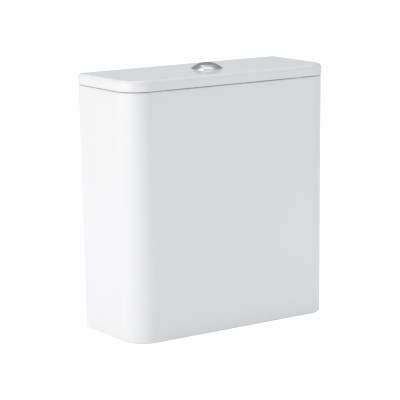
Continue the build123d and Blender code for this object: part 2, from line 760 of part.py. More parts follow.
with BuildPart() as fill_shank:
    extrude(ring(fill_level(fill_tail_foot), fill_tail_radius), amount=shank_bottom - fill_tail_foot)
    extrude(ring(fill_level(shank_bottom), shank_flange_radius), amount=shank_flange_thickness)
    extrude(ring(fill_level(shank_top), socket_radius), amount=socket_height)
    extrude(ring(fill_level(shank_top), riser_radius + pin_gap), amount=socket_height, mode=Mode.SUBTRACT)
    extrude(ring(fill_level(fill_tail_foot), fill_tail_bore_radius), amount=shank_top - fill_tail_foot,
            mode=Mode.SUBTRACT)
    extrude(ring(fill_level(fill_tail_foot), filter_seat_radius), amount=filter_seat_depth,
            mode=Mode.SUBTRACT)
    extrude(ring(fill_level(tail_groove_top), shank_flange_radius, tail_groove_radius),
            amount=-tail_groove_width, mode=Mode.SUBTRACT)
fill_shank.part.label = "fill_shank"
export_step(fill_shank.part, "parts/fill_shank.step")

with BuildPart() as fill_washer:
    extrude(ring(fill_level(floor_top), fill_washer_radius, fill_tail_radius + slip_gap),
            amount=fill_washer_thickness)
fill_washer.part.label = "fill_washer"
export_step(fill_washer.part, "parts/fill_washer.step")

# Fill valve backnut: a hexagon on a flange
fill_nut_hex_radius = 17.5
fill_nut_flange_radius = 19.0
fill_nut_flange_thickness = 2.0

with BuildPart() as fill_backnut:
    extrude(ring(fill_level(floor_underside), fill_nut_flange_radius), amount=-fill_nut_flange_thickness)
    with BuildSketch(fill_level(floor_underside)):
        RegularPolygon(fill_nut_hex_radius, 6)
    extrude(amount=-fill_nut_thickness)
    extrude(ring(fill_level(floor_underside), fill_tail_radius + pin_gap), amount=-fill_nut_thickness,
            mode=Mode.SUBTRACT)
fill_backnut.part.label = "fill_backnut"
export_step(fill_backnut.part, "parts/fill_backnut.step")

# Inlet filter: a thimble with slots, held by its rim in the tail's counterbore
filter_radius = 5.4
filter_wall = 1.0
filter_height = 26.0
filter_slot_count = 4
filter_slot_width = 1.4
filter_slot_height = 18.0

with BuildPart() as inlet_filter:
    extrude(ring(fill_level(fill_tail_foot), filter_seat_radius - slip_gap), amount=filter_seat_depth)
    extrude(ring(fill_level(fill_tail_foot), filter_radius), amount=filter_height)
    extrude(ring(fill_level(fill_tail_foot), filter_radius - filter_wall),
            amount=filter_height - filter_wall, mode=Mode.SUBTRACT)
    extrude(polar_bars(fill_level(fill_tail_foot + filter_seat_depth + filter_wall), filter_slot_count,
                       filter_radius, 2 * filter_wall + filter_radius / 2, filter_slot_width),
            amount=filter_slot_height, mode=Mode.SUBTRACT)
inlet_filter.part.label = "inlet_filter"
export_step(inlet_filter.part, "parts/inlet_filter.step")

# Riser: the plain tube that the float slides on
riser_bore_radius = 7.0
head_depth_below_rim = 142.0
head_bottom = tank_height - head_depth_below_rim
head_socket_depth = 8.0

with BuildPart() as fill_riser:
    extrude(ring(fill_level(shank_top), riser_radius, riser_bore_radius),
            amount=head_bottom + head_socket_depth - shank_top)
fill_riser.part.label = "fill_riser"
export_step(fill_riser.part, "parts/fill_riser.step")

# Fill head: the valve body, with an arm and a socket for the silencer tube behind it
head_radius = 22.0
head_height = 35.0
head_chamber_radius = 18.0
head_chamber_depth = 12.0
head_way_radius = 4.0
head_post_radius = 6.0
head_wall_width = 2.5
silencer_y = 34.0
silencer_radius = 6.0
silencer_bore_radius = 4.5
silencer_foot_clearance = 26.0
silencer_socket_radius = 9.0
silencer_socket_depth = 14.0
silencer_socket_height = 20.0
outlet_arm_width = 12.0
silencer_foot = floor_top + silencer_foot_clearance
head_top = head_bottom + head_height
diaphragm_thickness = 2.0
diaphragm_seat = head_top - diaphragm_thickness
silencer_top = head_bottom + silencer_socket_depth

with BuildPart() as fill_head:
    extrude(ring(fill_level(head_bottom), head_radius), amount=head_height)
    extrude(block(fill_level(head_bottom), -outlet_arm_width / 2, outlet_arm_width / 2, 0, silencer_y),
            amount=silencer_socket_height)
    extrude(disc_at(fill_level(head_bottom), 0, silencer_y, silencer_socket_radius),
            amount=silencer_socket_height)
    extrude(disc_at(fill_level(head_bottom), 0, silencer_y, silencer_radius + pin_gap),
            amount=silencer_socket_depth, mode=Mode.SUBTRACT)
    extrude(ring(fill_level(head_bottom), riser_radius + pin_gap), amount=head_socket_depth,
            mode=Mode.SUBTRACT)
    extrude(ring(fill_level(head_bottom), head_way_radius), amount=head_height, mode=Mode.SUBTRACT)
    extrude(ring(fill_level(head_top), head_chamber_radius), amount=-diaphragm_thickness,
            mode=Mode.SUBTRACT)
    extrude(ring(fill_level(diaphragm_seat), head_chamber_radius - head_wall_width, head_post_radius),
            amount=-head_chamber_depth, mode=Mode.SUBTRACT)
fill_head.part.label = "fill_head"
export_step(fill_head.part, "parts/fill_head.step")

with BuildPart() as fill_diaphragm:
    extrude(ring(fill_level(diaphragm_seat), head_chamber_radius - slip_gap), amount=diaphragm_thickness)
fill_diaphragm.part.label = "fill_diaphragm"
export_step(fill_diaphragm.part, "parts/fill_diaphragm.step")

with BuildPart() as silencer_tube:
    extrude(disc_at(fill_level(silencer_foot), 0, silencer_y, silencer_radius),
            amount=silencer_top - silencer_foot)
    extrude(disc_at(fill_level(silencer_foot), 0, silencer_y, silencer_bore_radius),
            amount=silencer_top - silencer_foot, mode=Mode.SUBTRACT)
silencer_tube.part.label = "silencer_tube"
export_step(silencer_tube.part, "parts/silencer_tube.step")

# Fill lever geometry: the float's rise closes the pilot hole through a small rocker
float_travel = 18.0
fill_pivot_x = 10.0
fill_link_x = 44.0
fill_pivot_rise_height = 10.0
fill_lever_arm = fill_link_x - fill_pivot_x
fill_lever_thickness = 5.0
fill_lever_width = 7.0
fill_pin_radius = 1.5
fill_half_angle = degrees(asin(float_travel / 2 / sqrt(fill_lever_arm ** 2 + (float_travel / 2) ** 2)))
pilot_pad_radius = 3.5
pilot_pad_thickness = 2.0

# Fill cap: a ribbed screw cap with the pilot nozzle and the lever's two ears
cap_radius = 24.0
cap_height = 7.0
cap_rib_count = 12
cap_rib_depth = 1.2
cap_rib_width = 3.0
cap_top = head_top + cap_height
fill_pivot_height = cap_top + fill_pivot_rise_height
nozzle_radius = 2.5
nozzle_bore_radius = 0.8
fill_ear_thickness = 2.5
fill_ear_half_length = 4.5
pilot_swing = fill_pivot_x * sin(radians(fill_half_angle))
pad_face_drop = fill_lever_thickness / 2 + pilot_pad_thickness
nozzle_top = fill_pivot_height - pilot_swing - pad_face_drop - 3 * seat_gap
fill_ear_inner_y = fill_lever_width / 2 + ear_gap


def fill_ear_outline(offset):
    """One ear of the fill lever's pivot."""
    with BuildSketch(fill_section(offset)) as drawn:
        with Locations((fill_pivot_x, fill_pivot_height)):
            Circle(fill_ear_half_length)
        with Locations((fill_pivot_x, (cap_top + fill_pivot_height) / 2)):
            Rectangle(2 * fill_ear_half_length, fill_pivot_height - cap_top)
        with Locations((fill_pivot_x, fill_pivot_height)):
            Circle(fill_pin_radius + pin_gap, mode=Mode.SUBTRACT)
    return drawn.sketch


with BuildPart() as fill_cap:
    extrude(ring(fill_level(head_top), cap_radius), amount=cap_height)
    extrude(polar_bars(fill_level(head_top), cap_rib_count, cap_radius, 2 * cap_rib_depth, cap_rib_width),
            amount=cap_height - cap_rib_depth)
    extrude(ring(fill_level(cap_top), nozzle_radius), amount=nozzle_top - cap_top)
    extrude(ring(fill_level(head_top), nozzle_bore_radius), amount=nozzle_top - head_top,
            mode=Mode.SUBTRACT)
    extrude(fill_ear_outline(-fill_ear_inner_y), amount=fill_ear_thickness)
    extrude(fill_ear_outline(fill_ear_inner_y), amount=-fill_ear_thickness)
fill_cap.part.label = "fill_cap"
export_step(fill_cap.part, "parts/fill_cap.step")

with BuildPart() as fill_lever_pin:
    extrude(disc_at(fill_section(-fill_ear_inner_y - fill_ear_thickness), fill_pivot_x,
                    fill_pivot_height, fill_pin_radius),
            amount=-2 * (fill_ear_inner_y + fill_ear_thickness))
fill_lever_pin.part.label = "fill_lever_pin"
export_step(fill_lever_pin.part, "parts/fill_lever_pin.step")

# Fill lever: a rocker with a fork at its far end, tilted down while the float is down
link_pin_radius = 1.5
link_rod_radius = 1.75
fork_play = 1.0
fork_wall = 2.0
fork_eye_radius = 4.0
fork_root = 27.0
fork_half_gap = link_rod_radius + fork_play
fork_half_width = fork_half_gap + fork_wall
link_reach = sqrt(fill_lever_arm ** 2 + (float_travel / 2) ** 2)
link_slot_height = 2 * (link_pin_radius + seat_gap)
link_slot_length = link_reach - fill_lever_arm + link_slot_height
link_slot_middle = (link_reach + fill_lever_arm) / 2


def fill_tilted(offset):
    """The upright plane of the tilted fill lever, centred on its pivot."""
    return Plane(origin=(fill_x + fill_pivot_x, fill_y + offset, fill_pivot_height),
                 x_dir=(cos(radians(fill_half_angle)), 0, -sin(radians(fill_half_angle))),
                 z_dir=(0, -1, 0))


with BuildPart() as fill_lever:
    with BuildSketch(fill_tilted(-fill_lever_width / 2)):
        with Locations(((fork_root - fill_pivot_x - pilot_pad_radius) / 2, 0)):
            Rectangle(fork_root + fill_pivot_x + pilot_pad_radius, fill_lever_thickness)
        Circle(fill_ear_half_length - ear_gap)
        Circle(fill_pin_radius + pin_gap, mode=Mode.SUBTRACT)
    extrude(amount=-fill_lever_width)
    for fork_side in (-1, 1):
        with BuildSketch(fill_tilted(fork_side * fork_half_width)):
            with Locations(((fork_root + link_slot_middle) / 2 - fork_wall, 0)):
                Rectangle(link_slot_middle - fork_root + 2 * fork_wall, fill_lever_thickness)
            with Locations((link_slot_middle, 0)):
                SlotOverall(link_slot_length + fill_lever_thickness, 2 * fork_eye_radius)
                SlotOverall(link_slot_length, link_slot_height, mode=Mode.SUBTRACT)
        extrude(amount=fork_side * fork_wall)
fill_lever.part.label = "fill_lever"
export_step(fill_lever.part, "parts/fill_lever.step")

# Pilot seal: the soft pad under the lever's short end
pilot_plane = Plane(origin=fill_tilted(0).from_local_coords((-fill_pivot_x, -fill_lever_thickness / 2, 0)),
                    x_dir=(cos(radians(fill_half_angle)), 0, -sin(radians(fill_half_angle))),
                    z_dir=(-sin(radians(fill_half_angle)), 0, -cos(radians(fill_half_angle))))

with BuildPart() as pilot_seal:
    extrude(ring(pilot_plane, pilot_pad_radius), amount=pilot_pad_thickness)
pilot_seal.part.label = "pilot_seal"
export_step(pilot_seal.part, "parts/pilot_seal.step")

# Float cup: an upturned cup that slides on the riser, with a bracket for the link rod
cup_radius = 26.0
cup_wall = 1.8
cup_sleeve_gap = 0.6
cup_depth_below_head = 92.0
cup_height = 64.0
cup_top_edge = 2.5
bracket_half_width = 5.0
bracket_thickness = 5.0
cup_bottom = head_bottom - cup_depth_below_head
cup_top = cup_bottom + cup_height
cup_sleeve_radius = riser_radius + cup_sleeve_gap

with BuildPart() as float_cup:
    extrude(ring(fill_level(cup_bottom), cup_radius), amount=cup_height)
    fillet(float_cup.faces().sort_by(Axis.Z)[-1].edges(), cup_top_edge)
    extrude(ring(fill_level(cup_bottom), cup_radius - cup_wall, cup_sleeve_radius + cup_wall),
            amount=cup_height - cup_wall, mode=Mode.SUBTRACT)
    with BuildSketch(fill_level(cup_top - cup_top_edge - bracket_thickness)):
        with Locations(((cup_radius - cup_wall + fill_link_x) / 2, 0)):
            Rectangle(fill_link_x - cup_radius + cup_wall, 2 * bracket_half_width)
        with Locations((fill_link_x, 0)):
            Circle(bracket_half_width)
            Circle(link_rod_radius + pin_gap, mode=Mode.SUBTRACT)
    extrude(amount=bracket_thickness)
    extrude(ring(fill_level(cup_bottom), cup_sleeve_radius), amount=cup_height, mode=Mode.SUBTRACT)
float_cup.part.label = "float_cup"
export_step(float_cup.part, "parts/float_cup.step")

# Link rod: threaded through the bracket, with a cross pin in the lever's fork
link_rod_tail_length = 14.0
level_nut_radius = 5.0
level_nut_height = 5.0
bracket_top = cup_top - cup_top_edge
bracket_bottom = bracket_top - bracket_thickness
link_pin_height = fill_pivot_height - float_travel / 2
link_rod_foot = bracket_bottom - link_rod_tail_length

with BuildPart() as link_rod:
    extrude(disc_at(fill_level(link_rod_foot), fill_link_x, 0, link_rod_radius),
            amount=link_pin_height + link_pin_radius - link_rod_foot)
    extrude(disc_at(fill_section(-fork_half_width), fill_link_x, link_pin_height, link_pin_radius),
            amount=-2 * fork_half_width)
link_rod.part.label = "link_rod"
export_step(link_rod.part, "parts/link_rod.step")

with BuildPart() as level_nuts:
    for nut_bottom in (bracket_top, bracket_bottom - level_nut_height):
        with BuildSketch(fill_level(nut_bottom)):
            with Locations((fill_link_x, 0)):
                RegularPolygon(level_nut_radius, 8)
                Circle(link_rod_radius + pin_gap, mode=Mode.SUBTRACT)
        extrude(amount=level_nut_height)
level_nuts.part.label = "level_nuts"
export_step(level_nuts.part, "parts/level_nuts.step")
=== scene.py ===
"""Looks of a close-coupled toilet cistern: glazed china, a chromed dual-flush button and its valves."""

import json
import logging
import math
from dataclasses import dataclass, field
from enum import Enum
from typing import Sequence

import bmesh
import bpy
from mathutils import Matrix, Vector


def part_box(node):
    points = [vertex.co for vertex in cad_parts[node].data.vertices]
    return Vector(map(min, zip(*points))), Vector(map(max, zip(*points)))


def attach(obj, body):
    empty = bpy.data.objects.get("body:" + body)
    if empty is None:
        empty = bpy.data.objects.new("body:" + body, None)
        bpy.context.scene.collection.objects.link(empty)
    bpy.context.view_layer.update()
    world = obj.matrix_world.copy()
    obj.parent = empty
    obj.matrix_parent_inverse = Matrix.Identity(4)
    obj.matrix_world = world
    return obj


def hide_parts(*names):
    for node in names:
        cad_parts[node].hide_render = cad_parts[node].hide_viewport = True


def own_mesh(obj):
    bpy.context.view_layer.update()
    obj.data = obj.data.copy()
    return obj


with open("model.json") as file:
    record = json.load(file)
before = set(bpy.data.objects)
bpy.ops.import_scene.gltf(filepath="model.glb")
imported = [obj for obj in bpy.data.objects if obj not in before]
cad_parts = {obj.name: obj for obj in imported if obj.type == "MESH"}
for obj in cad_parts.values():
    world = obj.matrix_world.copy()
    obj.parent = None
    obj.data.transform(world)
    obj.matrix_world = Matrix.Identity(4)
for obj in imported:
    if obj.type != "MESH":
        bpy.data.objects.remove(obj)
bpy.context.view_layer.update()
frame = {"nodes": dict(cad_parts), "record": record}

MM = 0.001
SMOOTH_ANGLE = math.radians(32)
WIRE_SMOOTH_ANGLE = math.radians(60)
FLAT_ANGLE = math.radians(0.5)
EDGE_ANGLE = math.radians(40)
WELD = 1e-6
CAD_WELD = 2e-6
LEAST_ROUGHNESS = 0.02
OVERRUN = 5 * MM
FINE_STEPS = 128
THREAD_RUN_IN = 1.5 * MM
VALVE_Y = -5 * MM
WHITE = (1.0, 1.0, 1.0, 1.0)
LOG = logging.getLogger("cistern")

Point2 = tuple[float, float]
Point3 = tuple[float, float, float]
Ring = list[Point3]


class PushSide(Enum):
    """The two halves of the dual-flush button, by the joint names' first word."""

    FULL = "full"
    HALF = "half"


# Colour and node helpers


def linear(hex_colour: str) -> tuple[float, float, float, float]:
    """Turns an sRGB hex colour into linear values.

    Args:
        hex_colour: Six hex digits after a hash.

    Returns:
        Red, green and blue, linear, and an alpha of one.
    """
    digits = hex_colour.lstrip("#")
    shares = [int(digits[i:i + 2], 16) / 255 for i in (0, 2, 4)]
    channels = [s / 12.92 if s <= 0.04045 else ((s + 0.055) / 1.055) ** 2.4 for s in shares]
    return (channels[0], channels[1], channels[2], 1.0)


def add_node(tree: bpy.types.NodeTree, kind: str, settings: dict[str, object] | None = None,
             inputs: dict[object, object] | None = None) -> bpy.types.Node:
    """Adds a node, sets its properties and fills its inputs.

    Args:
        tree: The shader or geometry tree.
        kind: The node's type name.
        settings: Properties of the node by name.
        inputs: Values or output sockets, by input name or index.

    Returns:
        The new node.
    """
    node = tree.nodes.new(kind)
    for name, value in (settings or {}).items():
        setattr(node, name, value)
    for key, value in (inputs or {}).items():
        socket = node.inputs[key]
        if isinstance(value, bpy.types.NodeSocket):
            tree.links.new(value, socket)
        else:
            socket.default_value = value
    return node


@dataclass(frozen=True)
class Finish:
    """One surface finish: a Principled shader with a fine bump and a slight drift of colour."""

    name: str
    colour: str
    second_colour: str
    slot: str
    roughness: float = 0.35
    roughness_spread: float = 0.05
    metallic: float = 0.0
    ior: float = 1.5
    grain_mm: float = 2.0
    bump_mm: float = 0.01
    drift_mm: float = 60.0
    subsurface: float = 0.0
    subsurface_mm: float = 2.0

    def build(self) -> bpy.types.Material:
        """Makes the material.

        Returns:
            The material, or the one already made under this name.
        """
        made = bpy.data.materials.get(self.name)
        if made is not None:
            return made
        material = bpy.data.materials.new(self.name)
        material.use_nodes = True
        tree = material.node_tree
        tree.nodes.clear()
        place = add_node(tree, "ShaderNodeTexCoord")
        drift, grain = (
            add_node(tree, "ShaderNodeTexNoise", {},
                     {"Vector": place.outputs["Object"], "Scale": 1 / (size * MM), "Detail": detail})
            for size, detail in ((self.drift_mm, 2.0), (self.grain_mm, 3.0)))
        tint = add_node(tree, "ShaderNodeMix", {"data_type": "RGBA"},
                        {0: drift.outputs["Fac"], 6: linear(self.colour), 7: linear(self.second_colour)})
        rough = add_node(tree, "ShaderNodeMapRange", {},
                         {"Value": grain.outputs["Fac"],
                          "To Min": max(self.roughness - self.roughness_spread, LEAST_ROUGHNESS),
                          "To Max": self.roughness + self.roughness_spread})
        bump = add_node(tree, "ShaderNodeBump", {}, {"Height": grain.outputs["Fac"], "Strength": 1.0,
                                                     "Distance": self.bump_mm * MM})
        shader = add_node(tree, "ShaderNodeBsdfPrincipled", {},
                          {"Base Color": tint.outputs[2], "Roughness": rough.outputs["Result"],
                           "Normal": bump.outputs["Normal"], "Metallic": self.metallic, "IOR": self.ior})
        if self.subsurface > 0:
            shader.inputs["Subsurface Weight"].default_value = self.subsurface
            shader.inputs["Subsurface Scale"].default_value = self.subsurface_mm * MM
        add_node(tree, "ShaderNodeOutputMaterial", {}, {"Surface": shader.outputs["BSDF"]})
        return material


# Vitreous china under a fired glaze: dead white, mirror-like, with the faint swell of a poured glaze
CHINA = Finish("glazed_vitreous_china", "#F2F3F4", "#EFF0F1", "white_glaze", roughness=0.07,
               roughness_spread=0.02, ior=1.52, grain_mm=35.0, bump_mm=0.05, drift_mm=140.0)
# The same body where it stood on the kiln shelf: no glaze, matt and a little warmer
BARE_CHINA = Finish("unglazed_vitreous_china", "#E9E6DE", "#DEDAD0", "white_glaze", roughness=0.7,
                    grain_mm=0.8, bump_mm=0.03)
# Moulded ABS plated with bright chromium: neutral mirror, slightly softened by handling
CHROME = Finish("chrome_plated_abs", "#DADCDE", "#D2D4D7", "chrome_plated_abs", roughness=0.07,
                roughness_spread=0.03, metallic=1.0, grain_mm=6.0, bump_mm=0.004, drift_mm=12.0)
# Injection-moulded ABS: satin white, the mould's fine spark texture just visible
WHITE_ABS = Finish("moulded_white_abs", "#E9EAE8", "#E2E4E3", "white_abs", roughness=0.38, grain_mm=1.2,
                   bump_mm=0.01)
# Injection-moulded acetal: slicker and a little creamier than the ABS
WHITE_ACETAL = Finish("moulded_white_acetal", "#EEEDE6", "#E8E6DD", "white_acetal", roughness=0.28,
                      grain_mm=1.6, bump_mm=0.008, subsurface=0.1)
# Blown and moulded polypropylene: milky, with soft edges where light comes through
WHITE_PP = Finish("moulded_natural_polypropylene", "#DCE0E1", "#D3D8DA", "white_pp", roughness=0.33,
                  grain_mm=2.2, bump_mm=0.012, subsurface=0.25, subsurface_mm=3.0)
# Grey acetal, moulded: even mid grey
GREY_ACETAL = Finish("moulded_grey_acetal", "#8B9096", "#7F858C", "grey_acetal", roughness=0.32,
                     grain_mm=1.6, bump_mm=0.01)
# Blue acetal, moulded: the strong blue of adjustable valve parts
BLUE_ACETAL = Finish("moulded_blue_acetal", "#3F73A8", "#356699", "blue_acetal", roughness=0.3,
                     grain_mm=1.6, bump_mm=0.01)
# Moulded nitrile rubber: near black, soft highlights
BLACK_RUBBER = Finish("moulded_black_rubber", "#26272A", "#1F2023", "black_rubber", roughness=0.62,
                      grain_mm=0.9, bump_mm=0.02)
# Closed-cell foam rubber: black and matt, its skin dimpled by the small cells
BLACK_FOAM = Finish("closed_cell_foam_rubber", "#2B2C2E", "#202122", "black_foam", roughness=0.85,
                    grain_mm=1.5, bump_mm=0.25)
# Clear silicone pads: pale, slightly milky
CLEAR_RUBBER = Finish("moulded_clear_silicone", "#D9DBD6", "#D0D3CE", "clear_rubber", roughness=0.3,
                      grain_mm=2.0, bump_mm=0.01, subsurface=0.4)
# Machined brass: warm metal, lightly tarnished in patches
BRASS = Finish("machined_brass", "#CFAF6B", "#C4A15A", "brass_nut", roughness=0.28, metallic=1.0,
               grain_mm=0.8, bump_mm=0.006)
# Drawn stainless wire: bright, with a faintly uneven surface
SPRING_WIRE = Finish("drawn_stainless_wire", "#C9CBCD", "#BEC1C4", "spring_steel", roughness=0.22,
                     metallic=1.0, grain_mm=0.6, bump_mm=0.003)
# Ground stainless pins: even satin metal
GROUND_STEEL = Finish("ground_stainless_steel", "#C2C4C6", "#B7BABD", "steel_pin", roughness=0.25,
                      metallic=1.0, grain_mm=0.8, bump_mm=0.003)

FINISHES: dict[str, Finish] = {f.slot: f for f in (
    CHINA, CHROME, WHITE_ABS, WHITE_ACETAL, WHITE_PP, GREY_ACETAL, BLUE_ACETAL, BLACK_RUBBER, BLACK_FOAM,
    CLEAR_RUBBER, BRASS, SPRING_WIRE, GROUND_STEEL)}


def recorded(node: str) -> tuple[Finish, str]:
    """The finish and the body that the record gives a CAD node.

    Args:
        node: The node's name.

    Returns:
        Its finish and the name of its body.
    """
    record = frame["record"]
    slot = next(row["material_slot"] for row in record["subparts"] if row["node"] == node)
    body = next(name for name, members in record["behaviour"]["bodies"].items() if node in members)
    return FINISHES[slot], body


# Mesh helpers


def object_from_bmesh(name: str, mesh_data: bmesh.types.BMesh) -> bpy.types.Object:
    """Turns a bmesh into a linked object with outward normals.

    Args:
        name: The object's and the mesh's name.
        mesh_data: The bmesh, which is freed.

    Returns:
        The object, at the origin.
    """
    bmesh.ops.remove_doubles(mesh_data, verts=mesh_data.verts, dist=WELD)
    bmesh.ops.recalc_face_normals(mesh_data, faces=mesh_data.faces)
    mesh = bpy.data.meshes.new(name)
    mesh_data.to_mesh(mesh)
    mesh_data.free()
    made = bpy.data.objects.new(name, mesh)
    bpy.context.scene.collection.objects.link(made)
    return made


def smooth(piece: bpy.types.Object, angle: float = SMOOTH_ANGLE) -> bpy.types.Object:
    """Shades a piece smooth except across edges sharper than an angle.

    Args:
        piece: The object.
        angle: The angle in radians.

    Returns:
        The same object.
    """
    for polygon in piece.data.polygons:
        polygon.use_smooth = True
    piece.data.set_sharp_from_angle(angle=angle)
    return piece


def baked(piece: bpy.types.Object) -> bpy.types.Object:
    """Applies a piece's modifiers to its mesh.

    Args:
        piece: The object.

    Returns:
        The same object, without modifiers.
    """
    bpy.context.view_layer.update()
    depsgraph = bpy.context.evaluated_depsgraph_get()
    mesh = bpy.data.meshes.new_from_object(piece.evaluated_get(depsgraph))
    piece.modifiers.clear()
    old = piece.data
    piece.data = mesh
    mesh.name = piece.name
    bpy.data.meshes.remove(old)
    return piece


def supported(profile: Sequence[Point2], gap: float) -> list[Point2]:
    """Adds a point beside each end of long straight runs, so that flats shade flat.

    Args:
        profile: The points in order.
        gap: How far from the ends the added points lie.

    Returns:
        The longer list.
    """
    result: list[Point2] = []
    for first, second in zip(profile, profile[1:]):
        start, end = Vector(first), Vector(second)
        result.append(first)
        if (end - start).length > 4 * gap:
            along = (end - start).normalized() * gap
            result.append(tuple(start + along))
            result.append(tuple(end - along))
    result.append(profile[-1])
    return result


def arc(centre: Point2, radius: float, start: float, end: float, steps: int) -> list[Point2]:
    """Points on an arc.

    Args:
        centre: The arc's centre.
        radius: Its radius.
        start: The first angle in degrees.
        end: The last angle in degrees.
        steps: How many chords it takes.

    Returns:
        The points, both ends included.
    """
    angles = [math.radians(start + (end - start) * i / steps) for i in range(steps + 1)]
    return [(centre[0] + radius * math.cos(a), centre[1] + radius * math.sin(a)) for a in angles]


def skin_rings(name: str, rings: Sequence[Ring], closed: bool) -> bpy.types.Object:
    """Joins rings of equal count by quads.

    Args:
        name: The object's name.
        rings: The rings in order.
        closed: True if the last ring joins the first, False if both ends get a face.

    Returns:
        The object.
    """
    mesh_data = bmesh.new()
    rows = [[mesh_data.verts.new(point) for point in ring] for ring in rings]
    pairs = list(zip(rows, rows[1:]))
    if closed:
        pairs.append((rows[-1], rows[0]))
    else:
        mesh_data.faces.new(rows[0])
        mesh_data.faces.new(rows[-1])
    count = len(rows[0])
    for low, high in pairs:
        for i in range(count):
            following = (i + 1) % count
            mesh_data.faces.new((low[i], low[following], high[following], high[i]))
    return object_from_bmesh(name, mesh_data)


def lathe(name: str, profile: Sequence[Point2], centre: Point2, segments: int = 96,
          closed: bool = True) -> bpy.types.Object:
    """Turns a profile of radius and height about an upright axis.

    Args:
        name: The object's name.
        profile: Radius and height pairs; a closed profile doesn't touch the axis.
        centre: The axis's X and Y.
        segments: Steps round the axis.
        closed: True for a ring, False for a solid whose first and last points are capped.

    Returns:
        The object.
    """
    rings = [[(centre[0] + r * math.cos(2 * math.pi * i / segments),
               centre[1] + r * math.sin(2 * math.pi * i / segments), z) for i in range(segments)]
             for r, z in profile]
    return smooth(skin_rings(name, rings, closed))


def carve(piece: bpy.types.Object, cutter: bpy.types.Object,
          operation: str = "DIFFERENCE") -> bpy.types.Object:
    """Cuts one piece with another, which is removed.

    Args:
        piece: The piece that stays.
        cutter: The piece that is used up.
        operation: The boolean's name.

    Returns:
        The first piece.
    """
    modifier = piece.modifiers.new("carve", "BOOLEAN")
    modifier.operation = operation
    modifier.solver = "EXACT"
    modifier.object = cutter
    baked(piece)
    bpy.data.objects.remove(cutter, do_unlink=True)
    return piece


def bevelled(piece: bpy.types.Object, width: float, segments: int = 2) -> bpy.types.Object:
    """Rounds the sharp edges of a piece.

    Args:
        piece: The object.
        width: The bevel's width in metres.
        segments: Its steps.

    Returns:
        The same object.
    """
    modifier = piece.modifiers.new("edges", "BEVEL")
    modifier.width = width
    modifier.segments = segments
    modifier.limit_method = "ANGLE"
    modifier.angle_limit = EDGE_ANGLE
    baked(piece)
    return smooth(piece)


def dress(piece: bpy.types.Object, finish: Finish, body: str, *replaced: str) -> bpy.types.Object:
    """Gives a piece its finish and its body, and hides the CAD nodes that it stands for.

    Args:
        piece: The object.
        finish: Its finish.
        body: The body that it moves with.
        replaced: The nodes that it replaces.

    Returns:
        The same object.
    """
    piece.data.materials.clear()
    piece.data.materials.append(finish.build())
    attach(piece, body)
    if replaced:
        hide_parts(*replaced)
    LOG.info("%s: %d faces on %s, replaces %s", piece.name, len(piece.data.polygons), body,
             ", ".join(replaced) or "nothing")
    return piece


def refined(node: str, edge_mm: float = 0.3) -> bpy.types.Object:
    """A smooth-shaded copy of a CAD node with its sharp edges broken, as a moulding's are.

    Args:
        node: The CAD node.
        edge_mm: The width of the broken edges.

    Returns:
        The dressed piece.
    """
    source = frame["nodes"][node]
    mesh_data = bmesh.new()
    mesh_data.from_mesh(source.data)
    bmesh.ops.remove_doubles(mesh_data, verts=mesh_data.verts, dist=CAD_WELD)
    bmesh.ops.dissolve_limit(mesh_data, angle_limit=FLAT_ANGLE, verts=mesh_data.verts,
                             edges=mesh_data.edges)
    mesh = bpy.data.meshes.new(f"{node}_moulding")
    mesh_data.to_mesh(mesh)
    mesh_data.free()
    copy = bpy.data.objects.new(f"{node}_moulding", mesh)
    bpy.context.scene.collection.objects.link(copy)
    bevelled(copy, edge_mm * MM)
    return dress(copy, *recorded(node), node)


# Geometry Nodes: wire and threads that follow a helix


def helix_tree(name: str, sides: int) -> bpy.types.NodeTree:
    """A tree that sweeps a small polygon along a helix.

    Args:
        name: The tree's name.
        sides: The sides of the swept section: 4 for a thread's ridge, more for wire.

    Returns:
        The tree, with Radius, Height, Turns, Section, Place, Steps and Material inputs.
    """
    made = bpy.data.node_groups.get(name)
    if made is not None:
        return made
    tree = bpy.data.node_groups.new(name, "GeometryNodeTree")
    for label, kind in (("Radius", "Float"), ("Height", "Float"), ("Turns", "Float"), ("Section", "Float"),
                        ("Place", "Vector"), ("Steps", "Int"), ("Material", "Material")):
        tree.interface.new_socket(name=label, in_out="INPUT", socket_type=f"NodeSocket{kind}")
    tree.interface.new_socket(name="Geometry", in_out="OUTPUT", socket_type="NodeSocketGeometry")
    given = add_node(tree, "NodeGroupInput")
    spiral = add_node(tree, "GeometryNodeCurveSpiral", {},
                      {"Resolution": given.outputs["Steps"], "Rotations": given.outputs["Turns"],
                       "Start Radius": given.outputs["Radius"], "End Radius": given.outputs["Radius"],
                       "Height": given.outputs["Height"]})
    upright = add_node(tree, "GeometryNodeSetCurveNormal", {"mode": "Z_UP"},
                       {"Curve": spiral.outputs["Curve"]})
    section = add_node(tree, "GeometryNodeCurvePrimitiveCircle", {},
                       {"Resolution": sides, "Radius": given.outputs["Section"]})
    swept = add_node(tree, "GeometryNodeCurveToMesh", {},
                     {"Curve": upright.outputs["Curve"], "Profile Curve": section.outputs["Curve"],
                      "Fill Caps": True})
    moved = add_node(tree, "GeometryNodeTransform", {},
                     {"Geometry": swept.outputs["Mesh"], "Translation": given.outputs["Place"]})
    real = add_node(tree, "GeometryNodeRealizeInstances", {}, {"Geometry": moved.outputs["Geometry"]})
    shown = add_node(tree, "GeometryNodeSetMaterial", {},
                     {"Geometry": real.outputs["Geometry"], "Material": given.outputs["Material"]})
    add_node(tree, "NodeGroupOutput", {}, {"Geometry": shown.outputs["Geometry"]})
    return tree


